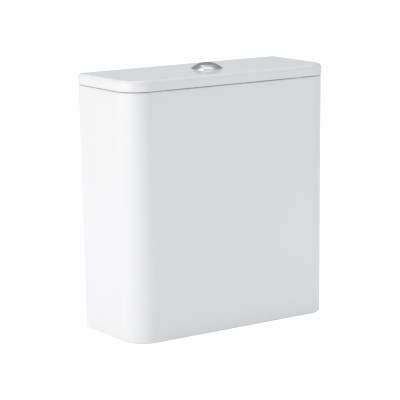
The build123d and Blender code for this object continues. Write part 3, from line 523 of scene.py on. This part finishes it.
@dataclass(frozen=True)
class Helix:
    """A wire spring or the ridge of a screw thread about an upright axis."""

    name: str
    centre: Point2
    radius: float
    low: float
    high: float
    pitch: float
    section: float
    finish: Finish
    wire_sides: int = 4
    steps_per_turn: int = 48

    def build(self) -> bpy.types.Object:
        """Sweeps the helix into a plain mesh.

        Returns:
            The object, not yet on a body.
        """
        tree = helix_tree(f"helix_{self.wire_sides}_sides", self.wire_sides)
        piece = bpy.data.objects.new(self.name, bpy.data.meshes.new(self.name))
        bpy.context.scene.collection.objects.link(piece)
        modifier = piece.modifiers.new("helix", "NODES")
        modifier.node_group = tree
        values = {"Radius": self.radius, "Height": self.high - self.low,
                  "Turns": (self.high - self.low) / self.pitch, "Section": self.section,
                  "Place": (self.centre[0], self.centre[1], self.low),
                  "Steps": self.steps_per_turn, "Material": self.finish.build()}
        for item in tree.interface.items_tree:
            if item.item_type == "SOCKET" and item.in_out == "INPUT":
                modifier[item.identifier] = values[item.name]
        baked(piece)
        return smooth(piece, WIRE_SMOOTH_ANGLE)

    def dress(self, body: str, *replaced: str) -> bpy.types.Object:
        """Builds the helix and dresses it on a body."""
        return dress(self.build(), self.finish, body, *replaced)


# The china


@dataclass(frozen=True)
class Outline:
    """The china's plan: a rectangle whose front corners are rounder than its rear ones."""

    front_radius: float
    rear_radius: float
    rear_tightening: float
    corner_steps: int = 20
    side_steps: int = 12

    def ring(self, half_width: float, half_depth: float, inset: float, height: float) -> Ring:
        """The outline's points at one height.

        Args:
            half_width: Half the width before the inset.
            half_depth: Half the depth before the inset.
            inset: How far the outline moves in.
            height: The ring's height.

        Returns:
            The points, anticlockwise from above.
        """
        x, y = half_width - inset, half_depth - inset
        front = self.front_radius - inset
        rear = self.rear_radius - min(inset, self.rear_tightening)
        corners = ((x - front, -y + front, front, -90.0), (x - rear, y - rear, rear, 0.0),
                   (-x + rear, y - rear, rear, 90.0), (-x + front, -y + front, front, 180.0))
        points: list[Point2] = []
        for cx, cy, radius, start in corners:
            bend = arc((cx, cy), radius, start, start + 90, self.corner_steps)
            if points:
                points += self.side(points[-1], bend[0])
            points += bend
        points += self.side(points[-1], points[0])
        return [(px, py, height) for px, py in points]

    def side(self, start: Point2, end: Point2) -> list[Point2]:
        """The points between two corners, closer together near the corners."""
        shares = [0.5 - 0.5 * math.cos(math.pi * i / self.side_steps) for i in range(1, self.side_steps)]
        return [(start[0] + (end[0] - start[0]) * s, start[1] + (end[1] - start[1]) * s) for s in shares]


@dataclass
class Tank:
    """The glazed tank: outer wall, rolled rim, inside, floor and the recess under it."""

    foot_width: float = 364 * MM
    wall: float = 10 * MM
    outline: Outline = Outline(front_radius=36 * MM, rear_radius=7 * MM, rear_tightening=3 * MM)
    rim_radius: float = 1.5 * MM
    foot_radius: float = 2.2 * MM
    floor_underside: float = 42 * MM
    floor_top: float = 54 * MM
    cove: float = 8 * MM
    outlet_radius: float = 32 * MM
    bolt_radius: float = 6.5 * MM
    bolt_x: float = 75 * MM
    fill_x: float = -135 * MM
    inlet_radius: float = 12 * MM
    screw_radius: float = 5 * MM
    screw_x: float = 100 * MM
    screw_drop: float = 52 * MM
    support: float = 1.5 * MM
    fold_steps: int = 6
    foot_steps: int = 5
    bore_steps: int = 64
    screw_steps: int = 48

    def __post_init__(self) -> None:
        """Reads the tank's size from the frame."""
        self.top_half_width, self.half_depth, self.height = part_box("tank")[1]

    def half_width(self, height: float) -> float:
        """Half the width at a height, by the wall's draft."""
        share = min(height / self.height, 1.0)
        return self.foot_width / 2 + (self.top_half_width - self.foot_width / 2) * share

    def profile(self) -> list[Point2]:
        """The wall's section, from the middle of the recess, round the shell, to the inner floor.

        Returns:
            Inset and height pairs.
        """
        rim, foot, cove, steps = self.rim_radius, self.foot_radius, self.cove, self.fold_steps
        run: list[Point2] = arc((self.wall + cove, self.floor_underside - cove), cove, 90, 180, steps)
        run += arc((self.wall - foot, foot), foot, 0, -90, self.foot_steps)
        run += arc((foot, foot), foot, -90, -180, self.foot_steps)
        run += arc((rim, self.height - rim), rim, 180, 90, steps)
        run += arc((self.wall - rim, self.height - rim), rim, 90, 0, steps)
        run += arc((self.wall + cove, self.floor_top + cove), cove, 180, 270, steps)
        return supported(run, self.support)

    def build(self) -> bpy.types.Object:
        """Makes the shell and cuts its holes.

        Returns:
            The undressed tank.
        """
        rings = [self.outline.ring(self.half_width(z), self.half_depth, inset, z)
                 for inset, z in self.profile()]
        shell = skin_rings("tank_china", rings, closed=False)
        for x, y, radius in ((0.0, VALVE_Y, self.outlet_radius),
                             (self.bolt_x, VALVE_Y, self.bolt_radius),
                             (-self.bolt_x, VALVE_Y, self.bolt_radius),
                             (self.fill_x, 0.0, self.inlet_radius)):
            run = [(radius, self.floor_underside - OVERRUN), (radius, self.floor_top + OVERRUN)]
            carve(shell, lathe("drill", run, (x, y), self.bore_steps, closed=False))
        reach = 2 * self.wall
        for x in (-self.screw_x, self.screw_x):
            drill = lathe("drill", [(self.screw_radius, -reach), (self.screw_radius, reach)],
                          (0.0, 0.0), self.screw_steps, closed=False)
            spot = (x, self.half_depth - self.wall / 2, self.height - self.screw_drop)
            drill.data.transform(Matrix.Translation(spot) @ Matrix.Rotation(math.pi / 2, 4, "X"))
            carve(shell, drill)
        return smooth(shell)

    def dress(self) -> None:
        """Builds the tank, glazes it and leaves its lower rim bare."""
        shell = dress(self.build(), CHINA, "cistern", "tank")
        shell.data.materials.append(BARE_CHINA.build())
        bare_height = 0.6 * self.foot_radius
        for polygon in shell.data.polygons:
            if polygon.center.z < bare_height:
                polygon.material_index = 1


@dataclass
class Lid:
    """The lift-off lid: a rolled slab with a locating rib, a boss and the button's hole."""

    outline: Outline = Outline(front_radius=37 * MM, rear_radius=8 * MM, rear_tightening=4 * MM)
    top_radius: float = 6.5 * MM
    lower_radius: float = 1.1 * MM
    rib_inset: float = 14 * MM
    rib_width: float = 6 * MM
    rib_edge: float = 1.4 * MM
    hollow: float = 6 * MM
    hollow_lap: float = 4 * MM
    top_lap: float = 3 * MM
    hole_radius: float = 20 * MM
    boss_radius: float = 31 * MM
    boss_sink: float = 0.2 * MM
    height: float = 17 * MM
    support: float = 1.2 * MM
    rib_steps: int = 4
    lower_steps: int = 5
    roll_steps: int = 12

    def build(self) -> bpy.types.Object:
        """Makes the lid.

        Returns:
            The undressed lid.
        """
        low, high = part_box("lid")
        half_width, half_depth, top = high
        under = top - self.height
        rib_foot = low.z
        r_top, r_low, r_rib = self.top_radius, self.lower_radius, self.rib_edge
        inner = self.rib_inset + self.rib_width
        run: list[Point2] = [(inner + self.hollow_lap, under + self.hollow),
                             (inner, under + self.hollow)]
        run += arc((inner - r_rib, rib_foot + r_rib), r_rib, 0, -90, self.rib_steps)
        run += arc((self.rib_inset + r_rib, rib_foot + r_rib), r_rib, -90, -180, self.rib_steps)
        run += [(self.rib_inset, under)]
        run += arc((r_low, under + r_low), r_low, -90, -180, self.lower_steps)
        run += arc((r_top, top - r_top), r_top, 180, 90, self.roll_steps)
        run += [(r_top + self.top_lap, top)]
        rings = [self.outline.ring(half_width, half_depth, inset, z)
                 for inset, z in supported(run, self.support)]
        slab = skin_rings("lid_china", rings, closed=False)
        for radius, low_end, high_end, operation in (
                (self.boss_radius, under + self.boss_sink, under + 2 * self.hollow, "UNION"),
                (self.hole_radius, rib_foot - OVERRUN, top + OVERRUN, "DIFFERENCE")):
            carve(slab, lathe("cutter", [(radius, low_end), (radius, high_end)], (0.0, VALVE_Y),
                              closed=False), operation)
        return smooth(slab)

    def dress(self) -> None:
        """Builds the lid and gives it its glaze; its pads are refined copies."""
        dress(self.build(), CHINA, "lid", "lid")
        refined("lid_bumpers", 0.2)


# The button


@dataclass
class PushButton:
    """The dual-flush button: a threaded bezel, two crowned halves, rods and springs."""

    flange_radius: float = 24.75 * MM
    flange_edge: float = 0.3 * MM
    edge_height: float = 0.8 * MM
    dome_height: float = 9 * MM
    rim_fillet: float = 0.6 * MM
    lip_fillet: float = 0.35 * MM
    bore_radius: float = 17.3 * MM
    sleeve_radius: float = 19 * MM
    thread_depth: float = 0.7 * MM
    thread_pitch: float = 2 * MM
    thread_stop: float = 2 * MM
    thread_margins: Point2 = (1 * MM, 4 * MM)
    lip_radius: float = 15.6 * MM
    lip_height: float = 2 * MM
    button_gap: float = 0.3 * MM
    button_stand: float = 0.3 * MM
    skirt_depth: float = 12 * MM
    split_y: float = 4 * MM
    split_gap: float = 0.6 * MM
    top_thickness: float = 2 * MM
    skirt_wall: float = 1.6 * MM
    rod_spots: dict[PushSide, Point2] = field(default_factory=lambda: {
        PushSide.FULL: (7.6 * MM, -8.5 * MM), PushSide.HALF: (-7.6 * MM, 8.5 * MM)})
    rod_radius: float = 2 * MM
    rod_thread_drops: Point2 = (52 * MM, 8 * MM)
    coil_radius: float = 3.3 * MM
    coil_pitch: float = 2.4 * MM
    coil_wire: float = 0.35 * MM
    travel: float = 8 * MM
    axis_hole: float = 0.2 * MM
    keeper_span: float = 60 * MM
    support: float = 0.4 * MM
    edge_steps: int = 3
    rim_steps: int = 6
    bezel_steps: int = 14
    crown_steps: int = 24

    def __post_init__(self) -> None:
        """Reads the heights from the frame."""
        self.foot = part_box("button_bezel")[0].z
        self.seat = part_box("lid")[1].z
        self.sphere = (self.flange_radius ** 2 + self.dome_height ** 2) / (2 * self.dome_height)
        self.sphere_middle = self.seat + self.edge_height + self.dome_height - self.sphere
        self.centre = (0.0, VALVE_Y)

    def dome(self, first: float, last: float, rise: float, steps: int) -> list[Point2]:
        """Points over the dome that the bezel and both buttons share.

        Args:
            first: The first radius.
            last: The last radius.
            rise: How far the dome is lifted.
            steps: How many chords it takes.

        Returns:
            Radius and height pairs.
        """
        ends = [math.degrees(math.acos(r / self.sphere)) for r in (first, last)]
        return arc((0.0, self.sphere_middle + rise), self.sphere, ends[0], ends[1], steps)

    def rim(self, radius: float, fillet: float, rise: float, outer: bool) -> list[Point2]:
        """Points round the edge between an upright wall and the dome.

        Args:
            radius: The wall's radius.
            fillet: The edge's radius.
            rise: How far the dome is lifted.
            outer: True if the wall is outside the dome, False if it is inside.

        Returns:
            Radius and height pairs, from the wall if outer and to the wall if not.
        """
        tilt = math.degrees(math.acos(radius / self.sphere))
        side = -1 if outer else 1
        middle = radius + side * fillet
        start = middle + fillet * math.cos(math.radians(tilt))
        height = (self.sphere_middle + rise + math.sqrt(self.sphere ** 2 - start ** 2)
                  - fillet * math.sin(math.radians(tilt)))
        return arc((middle, height), fillet, 0 if outer else tilt, tilt if outer else 180,
                   self.rim_steps)

    def bezel(self) -> bpy.types.Object:
        """The flanged sleeve, turned in one profile.

        Returns:
            The undressed bezel.
        """
        small, step = self.flange_edge, self.seat - self.thread_stop
        root = self.sleeve_radius - self.thread_depth
        outer = self.rim(self.flange_radius, self.rim_fillet, 0.0, True)
        inner = self.rim(self.bore_radius, self.lip_fillet, 0.0, False)
        lip_top = self.foot + self.lip_height
        run: list[Point2] = [(self.lip_radius, self.foot), (root, self.foot), (root, step),
                             (self.sleeve_radius, step), (self.sleeve_radius, self.seat)]
        run += arc((self.flange_radius - small, self.seat + small), small, -90, 0, self.edge_steps)
        run += outer + self.dome(outer[-1][0], inner[0][0], 0.0, self.bezel_steps)[1:-1] + inner
        run += [(self.bore_radius, lip_top), (self.lip_radius, lip_top)]
        return lathe("button_bezel_ring", supported(run, self.support), self.centre, FINE_STEPS)

    def crowned_disc(self, name: str) -> bpy.types.Object:
        """The whole button before it is split: a crowned shell with a skirt.

        Args:
            name: The piece's name.

        Returns:
            The undressed disc.
        """
        radius, axis = self.bore_radius - self.button_gap, self.axis_hole
        edge = self.rim(radius, self.lip_fillet, self.button_stand, True)
        rim_height = self.dome(radius, radius, self.button_stand, 1)[0][1]
        foot, roof = rim_height - self.skirt_depth, rim_height - self.top_thickness
        run = self.dome(axis, edge[-1][0], self.button_stand, self.crown_steps) + edge[::-1]
        run += [(radius, foot), (radius - self.skirt_wall, foot), (radius - self.skirt_wall, roof),
                (axis, roof)]
        return lathe(name, supported(run, self.support), self.centre, FINE_STEPS, closed=False)

    def half(self, name: str, low_y: float, high_y: float) -> bpy.types.Object:
        """One button cut from the crowned disc by two planes.

        Args:
            name: The piece's name.
            low_y: The near side, from the axis.
            high_y: The far side, from the axis.

        Returns:
            The undressed button.
        """
        disc = self.crowned_disc(name)
        mesh_data = bmesh.new()
        bmesh.ops.create_cube(mesh_data, size=1.0)
        keeper = object_from_bmesh("keeper", mesh_data)
        span = (self.keeper_span, high_y - low_y, self.keeper_span)
        keeper.data.transform(Matrix.Translation((0.0, VALVE_Y + (low_y + high_y) / 2, self.seat))
                              @ Matrix.Diagonal((*span, 1.0)))
        carve(disc, keeper, "INTERSECT")
        return bevelled(disc, self.lip_fillet, self.edge_steps)

    def rod_spot(self, side: PushSide) -> Point2:
        """Where a button's push rod stands."""
        return (self.rod_spots[side][0], VALVE_Y + self.rod_spots[side][1])

    def spring(self, side: PushSide) -> None:
        """Coils the wire spring round one push rod, as a fixed mesh on the lid that doesn't squash when
        the button is pressed.

        Args:
            side: Which button it lifts.
        """
        low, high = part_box(f"{side.value}_button_spring")
        spot, wire = self.rod_spot(side), self.coil_wire
        spring = Helix(f"{side.value}_button_coil", spot, self.coil_radius, low.z + wire, high.z - wire,
                       self.coil_pitch, wire, SPRING_WIRE, wire_sides=8, steps_per_turn=32)
        coil = spring.dress("lid", f"{side.value}_button_spring")
        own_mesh(coil)

    def dress(self) -> None:
        """Builds and dresses every piece of the button."""
        reach = self.bore_radius
        dress(self.bezel(), CHROME, "lid", "button_bezel")
        Helix("bezel_thread", self.centre, self.sleeve_radius - self.thread_depth,
              self.foot + self.thread_margins[0], self.seat - self.thread_margins[1], self.thread_pitch,
              self.thread_depth, CHROME).dress("lid")
        dress(self.half("full_button_cap", -reach, self.split_y - self.split_gap / 2), CHROME,
              "full_button", "full_flush_button")
        dress(self.half("half_button_cap", self.split_y + self.split_gap / 2, reach), CHROME,
              "half_button", "half_flush_button")
        for node in ("button_washer", "button_nut", "button_guide"):
            refined(node)
        for side in PushSide:
            rod_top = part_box(f"{side.value}_push_rod")[1].z
            ThreadedRod(f"{side.value}_push_rod", self.rod_spot(side), self.rod_radius,
                        rod_top - self.rod_thread_drops[0], rod_top - self.rod_thread_drops[1]).dress()
            refined(f"{side.value}_lock_nut", 0.15)
            self.spring(side)


# The valves


@dataclass(frozen=True)
class ThreadedRod:
    """A thin rod with a rolled thread over part of its length."""

    node: str
    centre: Point2
    radius: float
    thread_low: float
    thread_high: float
    pitch: float = 0.8 * MM
    depth: float = 0.35 * MM
    tip: float = 0.5 * MM
    steps: int = 32

    def dress(self) -> None:
        """Turns the rod's core, adds the thread and replaces the node."""
        low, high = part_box(self.node)
        core, tip = self.radius - self.depth, self.tip
        profile = [(core - tip, low.z), (core, low.z + tip), (core, high.z - tip), (core - tip, high.z)]
        finish, body = recorded(self.node)
        dress(lathe(f"{self.node}_core", profile, self.centre, self.steps, closed=False), finish, body,
              self.node)
        for name, start, end in (("plain_low", low.z, self.thread_low),
                                 ("plain_high", self.thread_high, high.z)):
            if end - start > 2 * tip:
                plain = [(core, start), (self.radius, start + tip), (self.radius, end - tip), (core, end)]
                dress(lathe(f"{self.node}_{name}", plain, self.centre, self.steps, closed=False), finish,
                      body)
        Helix(f"{self.node}_thread", self.centre, core, self.thread_low, self.thread_high, self.pitch,
              self.depth, finish, steps_per_turn=24).dress(body)


@dataclass
class FlushValve:
    """Everything on the flush valve's axis, from the coupling seal to the levers."""

    tail_radius: float = 29.8 * MM
    tail_bore: float = 25 * MM
    seat_bore: float = 24.6 * MM
    seat_radius: float = 29 * MM
    seat_height: float = 13 * MM
    flange_thickness: float = 4 * MM
    lip: float = 1.2 * MM
    nut_bottom: float = 31 * MM
    thread_in_nut: float = 3 * MM
    thread_pitch: float = 2.3 * MM
    thread_depth: float = 0.9 * MM
    support: float = 0.5 * MM
    rim_steps: int = 4
    seat_steps: int = 5

    def base(self) -> bpy.types.Object:
        """The tail, flange and seat in one turned profile.

        Returns:
            The undressed base.
        """
        low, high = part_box("valve_base")
        seat, foot, rim, lip = high.z, low.z, high.x, self.lip
        flange_top = seat - self.seat_height
        flange_low = flange_top - self.flange_thickness
        root = self.tail_radius - self.thread_depth
        corner, steps = 1.5 * lip, self.rim_steps
        run: list[Point2] = [(self.tail_bore, foot), (root - lip, foot), (root, foot + lip),
                             (root, flange_low)]
        run += arc((rim - lip, flange_low + lip), lip, -90, 0, steps)
        run += arc((rim - lip, flange_top - lip), lip, 0, 90, steps)
        run += arc((self.seat_radius + corner, flange_top + corner), corner, 270, 180, steps)
        run += arc((self.seat_radius - lip, seat - lip), lip, 0, 90, self.seat_steps)
        run += arc((self.seat_bore + lip, seat - lip), lip, 90, 180, self.seat_steps)
        run += [(self.seat_bore, flange_low), (self.tail_bore, flange_low)]
        return lathe("valve_base_turned", supported(run, self.support), (0.0, VALVE_Y), FINE_STEPS)

    def dress(self) -> None:
        """Dresses the valve's pieces."""
        dress(self.base(), WHITE_ABS, "cistern", "valve_base")
        Helix("valve_tail_thread", (0.0, VALVE_Y), self.tail_radius - self.thread_depth,
              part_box("valve_base")[0].z + THREAD_RUN_IN, self.nut_bottom + self.thread_in_nut,
              self.thread_pitch, self.thread_depth, WHITE_ABS, steps_per_turn=96).dress("cistern")
        for node in ("base_washer", "valve_backnut", "coupling_seal", "valve_tower",
                     "lever_bridge", "lever_pins", "full_lever", "half_lever", "lift_yoke",
                     "full_flush_float", "overflow_tube", "tube_clip", "half_flush_float",
                     "flush_seal", "seal_plate", "seal_clamp"):
            refined(node)


@dataclass
class FillValve:
    """Everything on the fill valve's axis, from its tail to its float."""

    centre: Point2 = (-135 * MM, 0.0)
    tail_radius: float = 10.48 * MM
    tail_bore: float = 6 * MM
    filter_seat: Point2 = (7.5 * MM, 2 * MM)
    socket_radius: float = 13 * MM
    socket_bore: float = 10.05 * MM
    socket_height: float = 20 * MM
    flange_radius: float = 20 * MM
    flange_thickness: float = 3 * MM
    thread_depth: float = 0.9 * MM
    thread_pitch: float = 1.814 * MM
    thread_top: float = 31 * MM
    thread_stop: float = 2 * MM
    edge: float = 0.8 * MM
    link_x: float = 44 * MM
    link_radius: float = 1.75 * MM
    link_pitch: float = 0.8 * MM
    link_depth: float = 0.3 * MM
    link_margin: float = 1 * MM
    link_rise: float = 30 * MM
    support: float = 0.4 * MM
    rim_steps: int = 3

    def shank(self) -> bpy.types.Object:
        """The tail, flange and riser socket in one turned profile.

        Returns:
            The undressed shank.
        """
        low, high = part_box("fill_shank")
        foot, top, tip, steps = low.z, high.z, self.edge, self.rim_steps
        flange_top = top - self.socket_height
        flange_low = flange_top - self.flange_thickness
        root = self.tail_radius - self.thread_depth
        thread_end = self.thread_top + self.thread_stop
        seat_radius, seat_depth = self.filter_seat
        run: list[Point2] = [(self.tail_bore, flange_top), (self.tail_bore, foot + seat_depth),
                             (seat_radius, foot + seat_depth), (seat_radius, foot), (root - tip, foot),
                             (root, foot + tip), (root, thread_end), (self.tail_radius, thread_end),
                             (self.tail_radius, flange_low)]
        run += arc((self.flange_radius - tip, flange_low + tip), tip, -90, 0, steps)
        run += arc((self.flange_radius - tip, flange_top - tip), tip, 0, 90, steps)
        run += arc((self.socket_radius + tip, flange_top + tip), tip, 270, 180, steps)
        run += arc((self.socket_radius - tip, top - tip), tip, 0, 90, steps)
        run += [(self.socket_bore, top), (self.socket_bore, flange_top)]
        return lathe("fill_shank_turned", supported(run, self.support), self.centre)

    def dress(self) -> None:
        """Dresses the valve's pieces."""
        dress(self.shank(), WHITE_ACETAL, "cistern", "fill_shank")
        Helix("fill_tail_thread", self.centre, self.tail_radius - self.thread_depth,
              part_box("fill_shank")[0].z + THREAD_RUN_IN, self.thread_top, self.thread_pitch,
              self.thread_depth, WHITE_ACETAL, steps_per_turn=64).dress("cistern")
        for node in ("fill_washer", "fill_backnut", "inlet_filter", "fill_riser", "fill_head",
                     "fill_cap", "fill_diaphragm", "fill_lever_pin", "silencer_tube", "fill_lever",
                     "pilot_seal", "float_cup", "link_rod", "level_nuts"):
            refined(node)
        rod_low, bracket_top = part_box("link_rod")[0].z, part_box("level_nuts")[1].z
        Helix("link_rod_thread", (self.centre[0] + self.link_x, self.centre[1]), self.link_radius,
              rod_low + self.link_margin, bracket_top + self.link_rise, self.link_pitch, self.link_depth,
              WHITE_ACETAL, steps_per_turn=24).dress("fill_float")


# The studio


@dataclass(frozen=True)
class SoftBox:
    """A rectangular studio lamp."""

    name: str
    place: Point3
    aim: Point3
    width: float
    height: float
    power: float
    colour: str = "#FFFFFF"
    mirrored: bool = True

    def build(self) -> None:
        """Hangs the lamp."""
        data = bpy.data.lights.new(self.name, "AREA")
        data.shape = "RECTANGLE"
        data.size = self.width
        data.size_y = self.height
        data.energy = self.power
        data.color = linear(self.colour)[:3]
        lamp = bpy.data.objects.new(self.name, data)
        lamp.visible_glossy = self.mirrored
        lamp.location = self.place
        lamp.rotation_mode = "QUATERNION"
        lamp.rotation_quaternion = (Vector(self.aim) - Vector(self.place)).to_track_quat("-Z", "Y")
        bpy.context.scene.collection.objects.link(lamp)


@dataclass
class Studio:
    """Camera, lamps, pale floor and white surround."""

    azimuth: float = -33.776
    elevation: float = 10.920
    roll: float = -0.761
    distance: float = 2.752
    aim: Point3 = (0.0, 0.0, 0.191)
    lens: float = 158.16
    sensor: float = 36.0
    shift_x: float = -0.0169
    clip: Point2 = (0.05, 60.0)
    floor_size: float = 14.0
    floor_colour: str = "#F4F4F4"
    floor_bounce: float = 0.165
    floor_glow: float = 0.7
    surround_level: float = 0.76
    surround_tint: Point3 = (0.97, 0.99, 1.0)
    surround_bands: tuple[Point2, ...] = ((0.0, 0.8), (0.13, 0.8), (0.3, 0.4), (0.55, 0.42), (0.8, 0.55),
                                          (0.95, 1.4))
    lamps: tuple[SoftBox, ...] = (
        SoftBox("left_softbox", (-3.2, -0.6, 1.2), (0.0, 0.0, 0.2), 2.4, 2.4, 46.5, "#FFFAF9"),
        SoftBox("right_softbox", (0.75, -0.5, 0.2), (0.16, 0.0, 0.12), 0.5, 0.5, 0.7, "#F0F6FF", False),
        SoftBox("top_softbox", (0.2, 0.4, 2.6), (0.0, 0.0, 0.3), 1.6, 1.6, 17.5, "#F7FAFF", False),
    )

    def camera(self) -> None:
        """Sets the camera at the photograph's viewpoint."""
        a, e, r = (math.radians(v) for v in (self.azimuth, self.elevation, self.roll))
        back = Vector((math.sin(a) * math.cos(e), -math.cos(a) * math.cos(e), math.sin(e)))
        right = Vector((math.cos(a), math.sin(a), 0.0))
        up = back.cross(right)
        axis_x = right * math.cos(r) + up * math.sin(r)
        axis_y = up * math.cos(r) - right * math.sin(r)
        place = Vector(self.aim) + back * self.distance
        data = bpy.data.cameras.new("camera")
        data.lens = self.lens
        data.sensor_width = self.sensor
        data.shift_x = self.shift_x
        data.clip_start, data.clip_end = self.clip
        eye = bpy.data.objects.new("camera", data)
        eye.matrix_world = Matrix.Translation(place) @ Matrix((axis_x, axis_y, back)).transposed().to_4x4()
        bpy.context.scene.collection.objects.link(eye)
        bpy.context.scene.camera = eye

    def surround(self) -> None:
        """A world that lights the object evenly and shows white behind it."""
        world = bpy.data.worlds.new("surround")
        bpy.context.scene.world = world
        world.use_nodes = True
        tree = world.node_tree
        tree.nodes.clear()
        path = add_node(tree, "ShaderNodeLightPath")
        place = add_node(tree, "ShaderNodeTexCoord")
        parts = add_node(tree, "ShaderNodeSeparateXYZ", {}, {"Vector": place.outputs["Generated"]})
        bands = add_node(tree, "ShaderNodeValToRGB", {}, {"Fac": parts.outputs["Z"]})
        ramp = bands.color_ramp
        ramp.interpolation = "EASE"
        for index, (share, grey) in enumerate(self.surround_bands):
            stop = ramp.elements[index] if index < 2 else ramp.elements.new(share)
            stop.position = share
            stop.color = (*(grey * tint for tint in self.surround_tint), 1.0)
        lit = add_node(tree, "ShaderNodeBackground", {}, {"Color": bands.outputs["Color"],
                                                          "Strength": self.surround_level})
        seen = add_node(tree, "ShaderNodeBackground", {}, {"Color": WHITE, "Strength": 1.0})
        both = add_node(tree, "ShaderNodeMixShader", {},
                        {0: path.outputs["Is Camera Ray"], 1: lit.outputs["Background"],
                         2: seen.outputs["Background"]})
        add_node(tree, "ShaderNodeOutputWorld", {}, {"Surface": both.outputs["Shader"]})

    def floor(self) -> None:
        """A pale floor that keeps the object's shadow."""
        mesh_data = bmesh.new()
        bmesh.ops.create_grid(mesh_data, x_segments=1, y_segments=1, size=self.floor_size / 2)
        floor = object_from_bmesh("studio_floor", mesh_data)
        material = bpy.data.materials.new("studio_paper")
        material.use_nodes = True
        tree = material.node_tree
        tree.nodes.clear()
        path = add_node(tree, "ShaderNodeLightPath")
        matte = add_node(tree, "ShaderNodeBsdfDiffuse", {}, {"Color": linear(self.floor_colour)})
        papers: list[bpy.types.Node] = []
        for strength in (self.floor_bounce, self.floor_glow):
            glow = add_node(tree, "ShaderNodeEmission", {}, {"Color": WHITE, "Strength": strength})
            papers.append(add_node(tree, "ShaderNodeAddShader", {}, {0: matte.outputs["BSDF"],
                                                                     1: glow.outputs["Emission"]}))
        both = add_node(tree, "ShaderNodeMixShader", {},
                        {0: path.outputs["Is Camera Ray"], 1: papers[0].outputs["Shader"],
                         2: papers[1].outputs["Shader"]})
        add_node(tree, "ShaderNodeOutputMaterial", {}, {"Surface": both.outputs["Shader"]})
        floor.data.materials.append(material)

    def build(self) -> None:
        """Sets up the whole studio."""
        self.camera()
        self.surround()
        self.floor()
        for lamp in self.lamps:
            lamp.build()
        bpy.context.scene.view_settings.view_transform = "Standard"


def main() -> None:
    """Builds the studio and dresses each sub-assembly in order."""
    logging.basicConfig(level=logging.INFO, format="%(name)s %(message)s")
    Studio().build()
    for assembly in (Tank(), Lid(), PushButton(), FlushValve(), FillValve()):
        LOG.info("dressing %s", type(assembly).__name__)
        assembly.dress()


if __name__ == "__main__":
    main()
